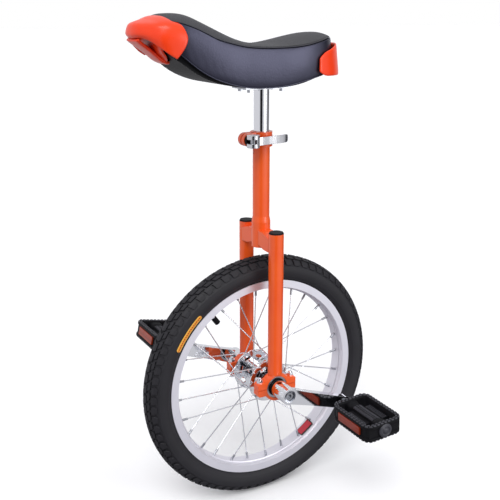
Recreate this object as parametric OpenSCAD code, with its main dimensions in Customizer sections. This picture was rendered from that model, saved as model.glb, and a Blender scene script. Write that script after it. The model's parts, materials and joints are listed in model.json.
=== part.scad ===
// Eighteen inch unicycle: a fork with split bearing holders, a spoked wheel with cranks
// and pedals, and a quick-release seat post carrying a long curved saddle.
// +X is the rider's forward, +Y the rider's left, +Z up.
// The origin is the point on the ground under the wheel.

/* [Wheel] */
// Outside diameter of the inflated tyre
tyre_od = 450; // [375:1:540]
// Width of the inflated tyre
tyre_w = 48; // [38:0.5:60]
// Height of the tyre above the edge of the rim
tyre_h = 42; // [34:0.5:50]
// Thickness of the tyre casing
tyre_wall = 3.5; // [2:0.1:5]
// Outside width of the rim
rim_w = 35; // [28:0.5:42]
// Depth of the rim from its edge to its floor
rim_depth = 17; // [13:0.5:22]
// Number of spokes, a multiple of four
spoke_count = 28; // [20:4:36]
// Diameter of a spoke
spoke_d = 2; // [1.6:0.1:2.6]
// Angle of the first spoke hole, measured from forward
spoke_phase = 9; // [0:0.5:20]
// Length of a spoke nipple
nipple_len = 13; // [10:0.5:16]
// Length of the valve cap
valve_cap_len = 14; // [10:0.5:20]

/* [Hub and bearings] */
// Diameter of each hub flange
flange_d = 76; // [64:1:90]
// Distance between the middles of the two flanges
flange_gap = 54; // [44:1:62]
// Diameter of the hub barrel
hub_d = 34; // [26:0.5:38]
// Diameter of the axle in the bearings
axle_d = 17; // [15:0.5:20]
// Outside diameter of each bearing
bearing_d = 40; // [36:1:46]
// Width of each bearing
bearing_w = 12; // [10:0.5:15]
// Distance between the middles of the two bearings
bearing_gap = 100; // [90:1:115]

/* [Cranks and pedals] */
// Distance from the axle to the pedal axle
crank_len = 125; // [100:1:150]
// Thickness of the crank arm
crank_t = 13; // [10:0.5:18]
// Angle of the cranks, the left one backward and down
crank_turn = 19.5; // [0:0.5:45]
// Length of a pedal along its axle
pedal_len = 104; // [84:1:128]
// Width of a pedal from front to back
pedal_w = 76; // [60:1:92]
// Height of a pedal
pedal_h = 29; // [24:0.5:36]
// Diameter of a pedal's threaded spindle
spindle_d = 14; // [12:0.5:16]

/* [Fork] */
// Outside diameter of each fork leg
leg_d = 25.4; // [22:0.1:30]
// Wall of the fork legs and seat tube
tube_wall = 1.5; // [1:0.1:3]
// Gap between the tyre's top and the crown
crown_gap = 18; // [8:1:40]
// Height of the crown
crown_h = 30; // [22:1:40]
// Thickness of the crown from front to back
crown_t = 24; // [16:1:30]
// Height of the seat tube above the underside of the crown
seat_tube_len = 193; // [140:1:260]
// Wall of metal around each bearing
holder_wall = 5; // [3.5:0.5:8]
// Width of each bearing holder along the axle
holder_w = 15; // [12:0.5:20]
// Distance of a holder's bolt from the axle
holder_bolt_x = 31; // [29:0.5:38]
// Diameter of a holder's bolts
holder_bolt_d = 6; // [5:0.5:8]

/* [Seat post and clamp] */
// Diameter of the seat post
post_d = 25.4; // [22.2:0.1:31.6]
// Length of the seat post
post_len = 222; // [160:1:350]
// Height of the seat post showing above the clamp
post_out = 70; // [30:1:120]
// Height of the clamp collar
collar_h = 24; // [16:0.5:32]
// Thickness of the clamp collar
collar_wall = 4; // [3:0.5:6]
// Diameter of the clamp's skewer
skewer_d = 5.8; // [5:0.1:8]
// Reach of the quick-release lever behind its pin
lever_len = 70; // [50:1:90]

/* [Saddle] */
// Length of the saddle's cover
saddle_len = 316; // [270:1:360]
// Width of the saddle at its widest
saddle_w = 150; // [120:1:180]
// Thickness of the foam and cover in the middle
saddle_h = 60; // [45:1:75]
// Thickness of the cover
cover_t = 2; // [1.5:0.1:4]
// Distance of the plastic base in from the saddle's edge
base_inset = 12; // [6:1:20]
// Thickness of the front handle and the rear bumper
bumper_t = 5; // [3:0.5:8]

/* [Hidden] */
$fn = 48;

// colours
orange = [0.93, 0.33, 0.12];
chrome = [0.78, 0.79, 0.82];
steel = [0.6, 0.61, 0.64];
black = [0.1, 0.1, 0.11];
silver = [0.83, 0.83, 0.86];

eps = 0.01;
fit = 0.1;          // radial running clearance of the post in the tube and a pedal on its spindle
play = 0.3;         // clearance between pieces that only pass each other
nip_clear = 0.05;   // clearance of a spoke in its nipple

// wheel
axle_z = tyre_od / 2;
tyre_r = tyre_w / 2;
tyre_mid_r = axle_z - tyre_r;
rim_r = axle_z - tyre_h;
rim_floor_r = rim_r - rim_depth;
rim_wall = 2;
rim_side_h = 13;                       // height of the rim's flat side
rim_ridge_y = rim_w / 4;               // half width of the raised floor
bead_seat_r = rim_r - 6;
bead_y = rim_w / 2 - rim_wall - play;
bead_w = 3.6;
tube_t = 1.3;
tube_clear = 0.8;
tape_t = 0.7;
tape_r = rim_floor_r + rim_wall + 3;   // the tape lies over the nipple heads
tape_y = rim_ridge_y - rim_wall - play;
spoke_r = spoke_d / 2;
spoke_step = 360 / spoke_count;
spoke_cross = 2;                       // spokes that each spoke passes on its own flange
spoke_lead = spoke_cross * 2 * spoke_step;
rim_hole_y = 2.5;                      // rim holes lean to the side of their flange
nipple_r = spoke_r + 1;
nipple_head_r = nipple_r + 0.8;
nipple_head_t = 1.2;
nipple_lift = 0.9;                     // lets a tilted head sit clear of the rim's floor
valve_turn = spoke_phase + 3.5 * spoke_step;
valve_r = 4;
valve_cap_r = 5;
valve_cap_end = rim_floor_r - 21;      // the cap's tip, nearest the hub
valve_stem_end = valve_cap_end + 4;

// hub and bearings
axle_r = axle_d / 2;
flange_r = flange_d / 2;
flange_t = 3;
flange_y = flange_gap / 2;
flange_hole_r = flange_r - 3;          // circle of the spoke holes
flange_slots = 7;
flange_slot_r = (hub_d / 2 + flange_hole_r) / 2;
slot_half = 3.2;                       // half width of a flange's slot
slot_run = 3.6;                        // half length of a slot's straight part
spoke_hole_r = spoke_r + 0.25;
spoke_head_r = spoke_r + 0.9;
spoke_off = flange_t / 2 + spoke_r + 1.2;   // an elbow stands off so its spoke clears the rim of the flange
spoke_head_t = 1;
elbow_r = spoke_r + 0.12;
bearing_y = bearing_gap / 2;
bearing_r = bearing_d / 2;
race_t = 3.5;
inner_race_r = axle_r + race_t;
outer_race_r = bearing_r - race_t;
ball_clear = 0.05;
ball_path_r = (inner_race_r + outer_race_r) / 2;
ball_r = (outer_race_r - inner_race_r) / 2 - ball_clear;
ball_count = 8;
seal_t = 0.8;
seal_clear = 0.3;
shoulder_r = inner_race_r - 1;
spacer_len = 8;

// cranks and pedals
boss_r = 15;
boss_in_y = bearing_y + bearing_w / 2 + spacer_len;
boss_len = 36;
crank_out_y = boss_in_y + boss_len;
taper_side = axle_d * 0.7;             // side of the axle's square ends, inside its round part
crank_root_w = 27;
crank_eye_r = 12;
eye_root_w = 21;
recess_r = 11;
recess_deep = 8;
crank_bolt_r = 4;
crank_head_r = 7.5;
crank_head_t = 6;
bolt_grip = 14;                        // thread of a crank bolt in the axle
axle_end_y = crank_out_y - recess_deep - 2;
spindle_r = spindle_d / 2;
collar_gap = 8;                        // spindle flats between crank and pedal
spindle_tip_r = 4.5;
pedal_in_y = crank_out_y + collar_gap;
pedal_out_y = pedal_in_y + pedal_len;
pedal_x = crank_len * cos(crank_turn);
pedal_dz = crank_len * sin(crank_turn);
pedal_turn_left = -3;                  // lean of each pedal as it hangs at rest
pedal_turn_right = 12;
pedal_corner = 12;
pedal_rim_t = 6;                       // thickness of the pedal's outer frame
pedal_end_t = 12;
pedal_core_r = pedal_h / 2 - 1.5;
reflector_t = 3;
reflector_h = pedal_h / 2;
reflector_len = pedal_len * 0.57;
cap_r = 12;
cap_t = 3;
nut_r = 6.5;
nut_t = 5;
spindle_end_y = pedal_out_y - cap_t - 4;
nut_room_deep = 22;

// fork
leg_r = leg_d / 2;
leg_y = bearing_y;
holder_r = bearing_r + holder_wall;
crown_z = tyre_od + crown_gap;
crown_top = crown_z + crown_h;
crown_arch = 6;                        // rise of the crown's underside in the middle
leg_top = crown_top + 3;
plug_t = 2.5;
plug_deep = 14;
plug_wall = 2;
tube_bore = post_d / 2 + fit;
tube_r = tube_bore + tube_wall;
socket_r = tube_r + 1.7;               // swelled lower end of the seat tube
socket_h = 44;
socket_cone = 9;
tube_top = crown_z + seat_tube_len;
slit_w = 2;
slit_h = 34;
ear_end_x = holder_bolt_x + 7;
ear_h = 13;
split_gap = 1;                         // gap between a holder and its cap
hex_r = holder_bolt_d * 0.95;          // corner radius of the hexagons
hex_t = holder_bolt_d * 0.75;
nut_flat_x = holder_bolt_x - hex_r - 0.5;   // inner end of the flat under a nut
bolt_stick = 4;

// clamp
collar_z = tube_top - collar_h + 3;
collar_in_r = tube_r;
collar_out_r = collar_in_r + collar_wall;
collar_top = collar_z + collar_h;
clamp_z = collar_z + collar_h / 2;
ear_r = collar_h / 2 - 1;
ear_x = collar_out_r + 9.5;
ear_gap = 3;
ear_out_y = 9.5;
skewer_r = skewer_d / 2;
cam_r = 10.5;
cam_h = 20;
cam_y = ear_out_y + cam_r + 2;
pin_r = 5;
washer_r = 9.5;
skewer_slot = skewer_d + 1.2;
slot_lip = 1.6;                        // metal left beside the slot where the lever has swung open
clamp_nut_r = 8;
clamp_nut_t = 9;
nut_side_y = -ear_out_y - clamp_nut_t;
strap_h = 13;
strap_t = 3;
cam_turn_clear = 0.2;

// saddle
post_top = collar_top + post_out;
post_bottom = post_top - post_len;
plate_t = 4;
plate_x = 84;
plate_y = 46;
pad_h = 13;                            // height of the flat pad moulded in the base
pad_edge = 4;                          // pad beyond the plate on each side
screw_r = 2;
screw_head_r = 3.8;
screw_head_t = 2.5;
screw_grip = 10;
pocket_deep = 16;
flange_plate_t = 3;                    // tabs of the bumper and handle under the base
rear_screw_x = -98;
rear_screw_y = 16;
front_screw_x = 176;
front_screw_y = 6;
post_wall = 2;
saddle_z = post_top + plate_t;         // underside of the base over the post
ks = saddle_len / 316;                 // the outlines below are drawn for a cover 316 long,
kw = saddle_w / 150;                   // 150 wide
saddle_lift = saddle_z + saddle_h - 60;   // and 60 thick
side_y = 100 * kw;                     // beyond the saddle's sides
saddle_bolt_x = 30;
saddle_bolt_y = 15;
saddle_bolt_r = 3;
saddle_nut_r = 5.5;
saddle_nut_t = 5;
skirt_clear = 0.3;

// height of the saddle's underside above saddle_z, along its length
under = [[-130, 34], [-100, 23], [-60, 12], [-30, 4.5], [0, 0.9], [30, 0.9], [60, 2.5], [90, 7],
         [115, 14], [139, 25], [162, 41], [180, 54], [198, 70]];
// height of the middle of the seat's top above the underside's lowest point
ridge = [[-130, 72], [-112, 84], [-85, 86], [-57, 81], [-30, 74], [0, 69], [23, 70], [49, 74],
         [74, 83], [99, 95], [123, 106], [141, 112], [160, 114], [180, 110], [198, 100]];
// lower edge of the cover above the underside's lowest point
hem = [[-130, 40], [-100, 28], [-60, 17], [-33, 12], [0, 7], [30, 6], [60, 7], [90, 13],
       [118, 24], [139, 36], [157, 50], [170, 62], [198, 80]];
// half width of the cover along its length
plan = [[-116, 0], [-114, 22], [-106, 42], [-92, 58], [-74, 69], [-50, 74], [-20, 74],
        [20, 71], [60, 68], [100, 66], [140, 63], [165, 59], [182, 51], [194, 38], [200, 20],
        [202, 0]];
// half width of the handle's outside along its length
hood_plan = [[150, 66], [170, 66], [186, 62.5], [198, 56], [208, 48.5], [217, 37], [224, 21.5],
             [227.5, 8], [228.5, 0]];

function mix(a, b, t) = a + (b - a) * t;
function curve_at(p, i, t) =
    let(a = p[max(i - 1, 0)], b = p[i], c = p[i + 1], d = p[min(i + 2, len(p) - 1)])
    b + 0.5 * t * (c - a + t * (2 * a - 5 * b + 4 * c - d + t * (3 * (b - c) + d - a)));
function curve(p, n = 3) = [for (i = [0 : len(p) - 2]) for (k = [0 : n - 1]) curve_at(p, i, k / n),
                            p[len(p) - 1]];
function sized(p, h) = [for (q = p) [q[0] * ks, h + q[1]]];
function lifted(p, dz) = [for (q = p) [q[0], q[1] + dz]];
function backward(p) = [for (i = [len(p) - 1 : -1 : 0]) p[i]];
// closed outline of the saddle seen from above, grown all round
function outline(p, grow = 0) =
    let(side = [for (q = curve(p)) if (q[1] * kw + grow > 2) [q[0] * ks, q[1] * kw + grow]],
        first = [p[0][0] * ks - grow, 0], last = [p[len(p) - 1][0] * ks + grow, 0],
        inner = [for (q = side) if (q[0] > first[0] + 0.5 && q[0] < last[0] - 0.5) q])
    concat([first], inner, [last], [for (q = backward(inner)) [q[0], -q[1]]]);

function under_at(x) = lookup(x, under_pts);
under_pts = curve(sized(under, saddle_z));
ridge_pts = curve(sized(ridge, saddle_z + saddle_h - 60));
hem_pts = curve(sized(hem, saddle_z));

// a flat shape, drawn in X and Z, made thick along Y
module along_y(y0, y1) {
    translate([0, y1, 0])
        rotate([90, 0, 0])
            linear_extrude(y1 - y0)
                children();
}

// a round bar along Y about the wheel's axle
module axle_bar(y0, y1, r) {
    along_y(min(y0, y1), max(y0, y1))
        translate([0, axle_z])
            circle(r);
}

// a turned ring about the wheel's axle; the child is drawn as radius and Y
module turned() {
    translate([0, 0, axle_z])
        rotate([-90, 0, 0])
            rotate_extrude($fn = 96)
                children();
}

// a round bar from one point to another
module rod(p, q, r) {
    v = q - p;
    translate(p)
        rotate([0, acos(v[2] / norm(v)), atan2(v[1], v[0])])
            cylinder(h = norm(v), r = r, $fn = 16);
}

module mirrored() {
    children();
    mirror([0, 1, 0])
        children();
}

// ---- wheel ----

module tyre() {
    color(black)
        turned()
            union() {
                difference() {
                    translate([tyre_mid_r, 0])
                        circle(tyre_r);
                    translate([tyre_mid_r, 0])
                        circle(tyre_r - tyre_wall);
                    translate([0, -tyre_w])
                        square([rim_r + play, 2 * tyre_w]);
                }
                for (s = [-1, 1])
                    translate([bead_seat_r + play, s > 0 ? bead_y - bead_w : -bead_y])
                        square([rim_r - bead_seat_r + 1.5, bead_w]);
            }
}

module inner_tube() {
    tube_r = tyre_r - tyre_wall - tube_clear;
    color(black)
        difference() {
            turned()
                translate([tyre_mid_r, 0])
                    difference() {
                        circle(tube_r);
                        circle(tube_r - tube_t);
                    }
            valve_bar(rim_floor_r, tyre_mid_r, valve_r - 1);
        }
}

module valve_bar(r0, r1, r) {
    translate([0, 0, axle_z])
        rotate([0, 90 - valve_turn, 0])
            translate([0, 0, r0])
                cylinder(h = r1 - r0, r = r);
}

module rim_tape() {
    color(black)
        difference() {
            turned()
                translate([tape_r, -tape_y])
                    square([tape_t, 2 * tape_y]);
            valve_bar(rim_floor_r, rim_r, valve_r + play);
        }
}

module rim() {
    hw = rim_w / 2;
    f = rim_floor_r;
    side = [[rim_r, hw - rim_wall], [rim_r, hw], [rim_r - rim_side_h, hw],
            [f + 2.2, hw - 3.5], [f + 1.6, rim_ridge_y + 1], [f, rim_ridge_y]];
    inside = [[f + rim_wall, rim_ridge_y - 1.6], [f + 4.4, rim_ridge_y - 0.4],
              [bead_seat_r - 3.4, hw - 5], [bead_seat_r, hw - 5], [bead_seat_r, hw - rim_wall]];
    section = concat(side, [for (p = backward(side)) [p[0], -p[1]]],
                     [for (p = backward(inside)) [p[0], -p[1]]], inside);
    color(silver)
        difference() {
            turned()
                polygon(section);
            for (k = [0 : spoke_count - 1])
                rod(nipple_in(k), nipple_out(k), nipple_r + play);
            valve_bar(rim_floor_r - 5, rim_r, valve_r + play);
        }
}

// spokes alternate between the flanges, and on each flange between leading and trailing
function spoke_side(k) = k % 2 == 0 ? 1 : -1;
function spoke_dir(k) = floor(k / 2) % 2 == 0 ? 1 : -1;
function wheel_pt(r, turn, y) = [r * cos(turn), y, axle_z + r * sin(turn)];
function rim_turn(k) = spoke_phase + k * spoke_step;
function hub_turn(k) = rim_turn(k) + spoke_dir(k) * spoke_lead;
function hub_pt(k) = wheel_pt(flange_hole_r, hub_turn(k),
                              spoke_side(k) * (flange_y + spoke_dir(k) * spoke_off));
function rim_pt(k) = wheel_pt(rim_floor_r, rim_turn(k), spoke_side(k) * rim_hole_y);
function spoke_way(k) = (rim_pt(k) - hub_pt(k)) / norm(rim_pt(k) - hub_pt(k));
function nipple_in(k) = rim_pt(k) - spoke_way(k) * (nipple_len - rim_wall);
function nipple_out(k) = rim_pt(k) + spoke_way(k) * (rim_wall + 3.4);
function nipple_seat(k) = rim_pt(k) + spoke_way(k) * (rim_wall + nipple_lift);
function nipple_top(k) = rim_pt(k) + spoke_way(k) * (rim_wall + nipple_lift + nipple_head_t);

module spokes() {
    color(chrome)
        for (k = [0 : spoke_count - 1]) {
            p = hub_pt(k);
            d = -spoke_side(k) * spoke_dir(k);
            seat = p + [0, d * (spoke_off + flange_t / 2), 0];
            rod(p, rim_pt(k), spoke_r);
            rod(p - [0, 1.2 * d * spoke_r, 0], seat + [0, d * spoke_head_t / 2, 0], elbow_r);
            rod(seat, seat + [0, d * spoke_head_t, 0], spoke_head_r);
        }
}

module spoke_nipples() {
    color(steel)
        for (k = [0 : spoke_count - 1])
            difference() {
                union() {
                    rod(nipple_in(k), nipple_top(k), nipple_r);
                    rod(nipple_seat(k), nipple_top(k), nipple_head_r);
                }
                rod(nipple_in(k) - spoke_way(k), rim_pt(k) + spoke_way(k) * nip_clear,
                    spoke_r + nip_clear);
            }
}

module valve_stem() {
    color(chrome)
        difference() {
            valve_bar(valve_stem_end, tyre_mid_r - tyre_r + tyre_wall + tube_clear, valve_r);
            valve_bar(valve_stem_end - 1, rim_floor_r - 8, valve_r - 1.5);
        }
}

module valve_cap() {
    color(black)
        difference() {
            valve_bar(valve_cap_end, valve_cap_end + valve_cap_len, valve_cap_r);
            valve_bar(valve_stem_end, valve_cap_end + valve_cap_len + 1, valve_r);
        }
}

// ---- hub and bearings ----

module flange_slot() {
    for (x = [-slot_run, slot_run])
        translate([x, flange_slot_r])
            circle(slot_half);
    translate([-slot_run, flange_slot_r - slot_half])
        square([2 * slot_run, 2 * slot_half]);
}

module hub_flange() {
    difference() {
        circle(flange_r);
        for (k = [0 : flange_slots - 1])
            rotate((k + 0.5) * 360 / flange_slots)
                flange_slot();
    }
}

module hub_shell() {
    color(chrome)
        difference() {
            union() {
                axle_bar(-flange_y, flange_y, hub_d / 2);
                axle_bar(-bearing_y + bearing_w / 2, bearing_y - bearing_w / 2, shoulder_r);
                for (s = [-1, 1])
                    along_y(s * flange_y - flange_t / 2, s * flange_y + flange_t / 2)
                        translate([0, axle_z])
                            hub_flange();
            }
            axle_bar(-bearing_y, bearing_y, axle_r);
            for (k = [0 : spoke_count - 1])
                translate([hub_pt(k)[0], spoke_side(k) * flange_y - flange_t, hub_pt(k)[2]])
                    rotate([-90, 0, 0])
                        cylinder(h = 2 * flange_t, r = spoke_hole_r);
        }
}

module axle() {
    color(steel)
        difference() {
            union() {
                axle_bar(-boss_in_y, boss_in_y, axle_r);
                for (s = [-1, 1])
                    crank_frame(s)
                        along_y(s > 0 ? boss_in_y : -axle_end_y, s > 0 ? axle_end_y : -boss_in_y)
                            translate([-taper_side / 2, -taper_side / 2])
                                square(taper_side);
            }
            for (s = [-1, 1])
                axle_bar(s * (axle_end_y - bolt_grip), s * (axle_end_y + 1), crank_bolt_r);
        }
}

module bearing_inner(s) {
    color(steel)
        difference() {
            axle_bar(s * bearing_y - bearing_w / 2, s * bearing_y + bearing_w / 2, inner_race_r);
            axle_bar(s * bearing_y - bearing_w, s * bearing_y + bearing_w, axle_r);
            turned()
                translate([ball_path_r, s * bearing_y])
                    circle(ball_r + ball_clear + 0.6);
        }
}

module bearing_outer(s) {
    color(steel)
        difference() {
            axle_bar(s * bearing_y - bearing_w / 2, s * bearing_y + bearing_w / 2, bearing_r);
            axle_bar(s * bearing_y - bearing_w, s * bearing_y + bearing_w, outer_race_r);
            turned()
                translate([ball_path_r, s * bearing_y])
                    circle(ball_r + ball_clear + 0.6);
        }
}

module left_bearing_inner() {
    bearing_inner(1);
}

module right_bearing_inner() {
    bearing_inner(-1);
}

module left_bearing_outer() {
    bearing_outer(1);
}

module right_bearing_outer() {
    bearing_outer(-1);
}

module bearing_balls() {
    color(chrome)
        for (s = [-1, 1])
            for (k = [0 : ball_count - 1])
                translate(wheel_pt(ball_path_r, k * 360 / ball_count, s * bearing_y))
                    sphere(r = ball_r);
}

module bearing_seals() {
    color(black)
        for (s = [-1, 1])
            for (side = [-1, 1])
                turned()
                    translate([inner_race_r + seal_clear,
                               s * bearing_y + side * (bearing_w / 2 - seal_t) - seal_t / 2])
                        square([outer_race_r - inner_race_r - seal_clear, seal_t]);
}

module axle_spacers() {
    color(chrome)
        for (s = [-1, 1])
            difference() {
                axle_bar(s * (bearing_y + bearing_w / 2), s * boss_in_y, inner_race_r);
                axle_bar(s * bearing_y, s * (boss_in_y + 1), axle_r);
            }
}

// ---- cranks and pedals ----

// turns a shape drawn about the axle, with the crank along +X, to a side's crank
module crank_frame(s) {
    translate([0, 0, axle_z])
        rotate([0, -crank_turn - (s > 0 ? 180 : 0), 0])
            children();
}

module crank(s) {
    arm_in = crank_out_y - crank_t;
    y0 = s > 0 ? arm_in : -crank_out_y;
    y1 = s > 0 ? crank_out_y : -arm_in;
    b0 = s > 0 ? boss_in_y : -crank_out_y;
    b1 = s > 0 ? crank_out_y : -boss_in_y;
    color(chrome)
        crank_frame(s)
            difference() {
                union() {
                    along_y(b0, b1)
                        circle(boss_r);
                    along_y(y0, y1)
                        polygon([[0, crank_root_w / 2], [crank_len * 0.3, eye_root_w / 2 + 1.2],
                                 [crank_len, crank_eye_r * 0.9], [crank_len, -crank_eye_r * 0.9],
                                 [crank_len * 0.3, -eye_root_w / 2 - 1.2], [0, -crank_root_w / 2]]);
                    along_y(y0, y1)
                        translate([crank_len, 0])
                            circle(crank_eye_r);
                }
                along_y(b0 - 1, b1 + 1)
                    translate([-taper_side / 2, -taper_side / 2])
                        square(taper_side);
                along_y(s > 0 ? crank_out_y - recess_deep : -crank_out_y - 1,
                        s > 0 ? crank_out_y + 1 : -crank_out_y + recess_deep)
                    circle(recess_r);
                along_y(b0 - 1, b1 + 1)
                    translate([crank_len, 0])
                        circle(spindle_r);
            }
}

module left_crank() {
    crank(1);
}

module right_crank() {
    crank(-1);
}

module crank_bolts() {
    seat = crank_out_y - recess_deep;
    color(steel)
        for (s = [-1, 1])
            difference() {
                union() {
                    axle_bar(s * (axle_end_y - bolt_grip), s * seat, crank_bolt_r);
                    axle_bar(s * seat, s * (seat + 1.5), recess_r - 1);
                    along_y(s > 0 ? seat : -seat - crank_head_t, s > 0 ? seat + crank_head_t : -seat)
                        translate([0, axle_z])
                            circle(crank_head_r, $fn = 6);
                }
                axle_bar(s * (seat + 2), s * (seat + crank_head_t + 1), crank_head_r / 2);
            }
}

module at_pedal(s) {
    translate([-s * pedal_x, 0, axle_z - s * pedal_dz])
        rotate([0, s > 0 ? -pedal_turn_left : -pedal_turn_right, 0])
            mirror([0, s > 0 ? 0 : 1, 0])
                children();
}

module bar_y(y0, y1, r) {
    along_y(y0, y1)
        circle(r);
}

module pedal_spindle(s) {
    color(steel)
        at_pedal(s)
            union() {
                bar_y(crank_out_y - crank_t, crank_out_y, spindle_r);
                bar_y(crank_out_y, pedal_in_y - play, spindle_r + 1);
                bar_y(pedal_in_y - play, pedal_in_y + 12, spindle_r - 1);
                bar_y(pedal_in_y, spindle_end_y, spindle_tip_r);
            }
}

module left_pedal_spindle() {
    pedal_spindle(1);
}

module right_pedal_spindle() {
    pedal_spindle(-1);
}

// the pedal's outline from above, drawn in X and Y from the inner end
module pedal_plan(inset) {
    hw = pedal_w / 2 - inset;
    r = max(pedal_corner - inset, 2);
    translate([-hw, pedal_in_y + inset + r])
        square([2 * hw, pedal_len - 2 * inset - 2 * r]);
    translate([-hw + r, pedal_in_y + inset])
        square([2 * hw - 2 * r, pedal_len - 2 * inset]);
    for (x = [-hw + r, hw - r])
        for (y = [pedal_in_y + inset + r, pedal_out_y - inset - r])
            translate([x, y])
                circle(r);
}

module pedal_body(s) {
    window = pedal_w / 2 - pedal_rim_t - pedal_core_r;
    color(black)
        at_pedal(s)
            difference() {
                union() {
                    translate([0, 0, -pedal_h / 2])
                        linear_extrude(pedal_h)
                            difference() {
                                pedal_plan(0);
                                for (x = [-1, 1])
                                    translate([x > 0 ? pedal_core_r : -pedal_core_r - window,
                                               pedal_in_y + pedal_end_t])
                                        square([window, pedal_len - 2 * pedal_end_t]);
                            }
                }
                for (x = [-1, 1])
                    translate([x > 0 ? pedal_w / 2 - reflector_t : -pedal_w / 2 - 1,
                               pedal_in_y + (pedal_len - reflector_len) / 2, -reflector_h / 2])
                        cube([reflector_t + 1, reflector_len, reflector_h]);
                bar_y(pedal_in_y - 1, pedal_in_y + 12 + play, spindle_r - 1 + fit);
                bar_y(pedal_in_y, pedal_out_y, spindle_tip_r + fit);
                bar_y(pedal_out_y - nut_room_deep, pedal_out_y + 1, nut_r + 1);
            }
}

module left_pedal_body() {
    pedal_body(1);
}

module right_pedal_body() {
    pedal_body(-1);
}

module pedal_reflectors(s) {
    color([0.75, 0.25, 0.08])
        at_pedal(s)
            for (x = [-1, 1])
                translate([x > 0 ? pedal_w / 2 - reflector_t : -pedal_w / 2,
                           pedal_in_y + (pedal_len - reflector_len) / 2, -reflector_h / 2])
                    cube([reflector_t, reflector_len, reflector_h]);
}

module left_pedal_reflectors() {
    pedal_reflectors(1);
}

module right_pedal_reflectors() {
    pedal_reflectors(-1);
}

module pedal_cap(s) {
    color(black)
        at_pedal(s)
            union() {
                bar_y(pedal_out_y, pedal_out_y + cap_t, cap_r);
                difference() {
                    bar_y(pedal_out_y - cap_t, pedal_out_y, nut_r + 1);
                    bar_y(pedal_out_y - cap_t - 1, pedal_out_y - 0.5, nut_r - 1);
                }
            }
}

module left_pedal_cap() {
    pedal_cap(1);
}

module right_pedal_cap() {
    pedal_cap(-1);
}

module pedal_spindle_nuts() {
    color(steel)
        for (s = [-1, 1])
            at_pedal(s)
                difference() {
                    along_y(spindle_end_y - nut_t - 1, spindle_end_y - 1)
                        circle(nut_r, $fn = 6);
                    bar_y(spindle_end_y - nut_t - 2, spindle_end_y, spindle_tip_r);
                }
}

// ---- fork ----

module leg(s) {
    color(orange)
        difference() {
            translate([0, s * leg_y, axle_z])
                cylinder(h = leg_top - axle_z, r = leg_r);
            translate([0, s * leg_y, axle_z - 1])
                cylinder(h = leg_top - axle_z + 2, r = leg_r - tube_wall);
            axle_bar(s * leg_y - leg_d, s * leg_y + leg_d, holder_r);
            translate([-leg_d, s * leg_y - leg_d, axle_z - 2])
                cube([2 * leg_d, 2 * leg_d, holder_r / 2]);
        }
}

module left_leg() {
    leg(1);
}

module right_leg() {
    leg(-1);
}

module leg_plugs() {
    color(black)
        for (s = [-1, 1])
            translate([0, s * leg_y, 0])
                union() {
                    translate([0, 0, leg_top])
                        cylinder(h = plug_t, r1 = leg_r, r2 = leg_r - 1.2);
                    translate([0, 0, leg_top - plug_deep])
                        difference() {
                            cylinder(h = plug_deep, r = leg_r - tube_wall);
                            translate([0, 0, -1])
                                cylinder(h = plug_deep, r = leg_r - tube_wall - plug_wall);
                        }
                }
}

module seat_tube() {
    color(orange)
        difference() {
            translate([0, 0, crown_z])
                rotate_extrude()
                    polygon([[tube_bore, 0], [socket_r, 0], [socket_r, socket_h],
                             [tube_r, socket_h + socket_cone], [tube_r, seat_tube_len],
                             [tube_bore, seat_tube_len]]);
            translate([0, -slit_w / 2, tube_top - slit_h])
                cube([socket_r, slit_w, slit_h + 1]);
        }
}

module fork_crown() {
    color(orange)
        difference() {
            translate([-crown_t / 2, 0, 0])
                rotate([90, 0, 90])
                    linear_extrude(crown_t)
                        polygon([[-leg_y, crown_z], [-leg_y * 0.55, crown_z + 1],
                                 [-leg_y * 0.25, crown_z + crown_arch],
                                 [leg_y * 0.25, crown_z + crown_arch],
                                 [leg_y * 0.55, crown_z + 1], [leg_y, crown_z],
                                 [leg_y, crown_top - 8], [leg_y * 0.5, crown_top],
                                 [-leg_y * 0.5, crown_top], [-leg_y, crown_top - 8]]);
            translate([0, 0, crown_z - 1])
                cylinder(h = crown_h + 2, r = socket_r);
            for (s = [-1, 1])
                translate([-leg_d, s * leg_y, crown_z - 1])
                    mirror([0, s > 0 ? 0 : 1, 0])
                        cube([2 * leg_d, leg_d, crown_h + 2]);
            for (s = [-1, 1])
                translate([0, s * leg_y, crown_z - 1])
                    cylinder(h = crown_h + 2, r = leg_r);
        }
}

// side outline of a holder's upper half: a ring, two ears and the shoulders up to the leg
module holder_plan() {
    translate([0, axle_z])
        union() {
            circle(holder_r);
            polygon([[-leg_r - 1, holder_r - 4], [-leg_r - 4, holder_r - 8],
                     [-nut_flat_x + 2, ear_h + 2], [-nut_flat_x, ear_h],
                     [-ear_end_x + 3, ear_h], [-ear_end_x, ear_h - 3],
                     [-ear_end_x, split_gap / 2], [ear_end_x, split_gap / 2],
                     [ear_end_x, ear_h - 3], [ear_end_x - 3, ear_h],
                     [nut_flat_x, ear_h], [nut_flat_x - 2, ear_h + 2],
                     [leg_r + 4, holder_r - 8], [leg_r + 1, holder_r - 4]]);
        }
}

module cap_plan() {
    translate([0, axle_z])
        union() {
            circle(holder_r);
            polygon([[-ear_end_x, -split_gap / 2], [-ear_end_x, -ear_h + 4],
                     [-ear_end_x + 3, -ear_h + 1], [-holder_r + 3, -ear_h + 1],
                     [-holder_r + 7, -ear_h - 3], [holder_r - 7, -ear_h - 3],
                     [holder_r - 3, -ear_h + 1], [ear_end_x - 3, -ear_h + 1],
                     [ear_end_x, -ear_h + 4], [ear_end_x, -split_gap / 2]]);
        }
}

module bolt_bars(s, r) {
    for (x = [-holder_bolt_x, holder_bolt_x])
        translate([x, s * bearing_y, axle_z - 2 * ear_h])
            cylinder(h = 4 * ear_h, r = r);
}

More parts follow.
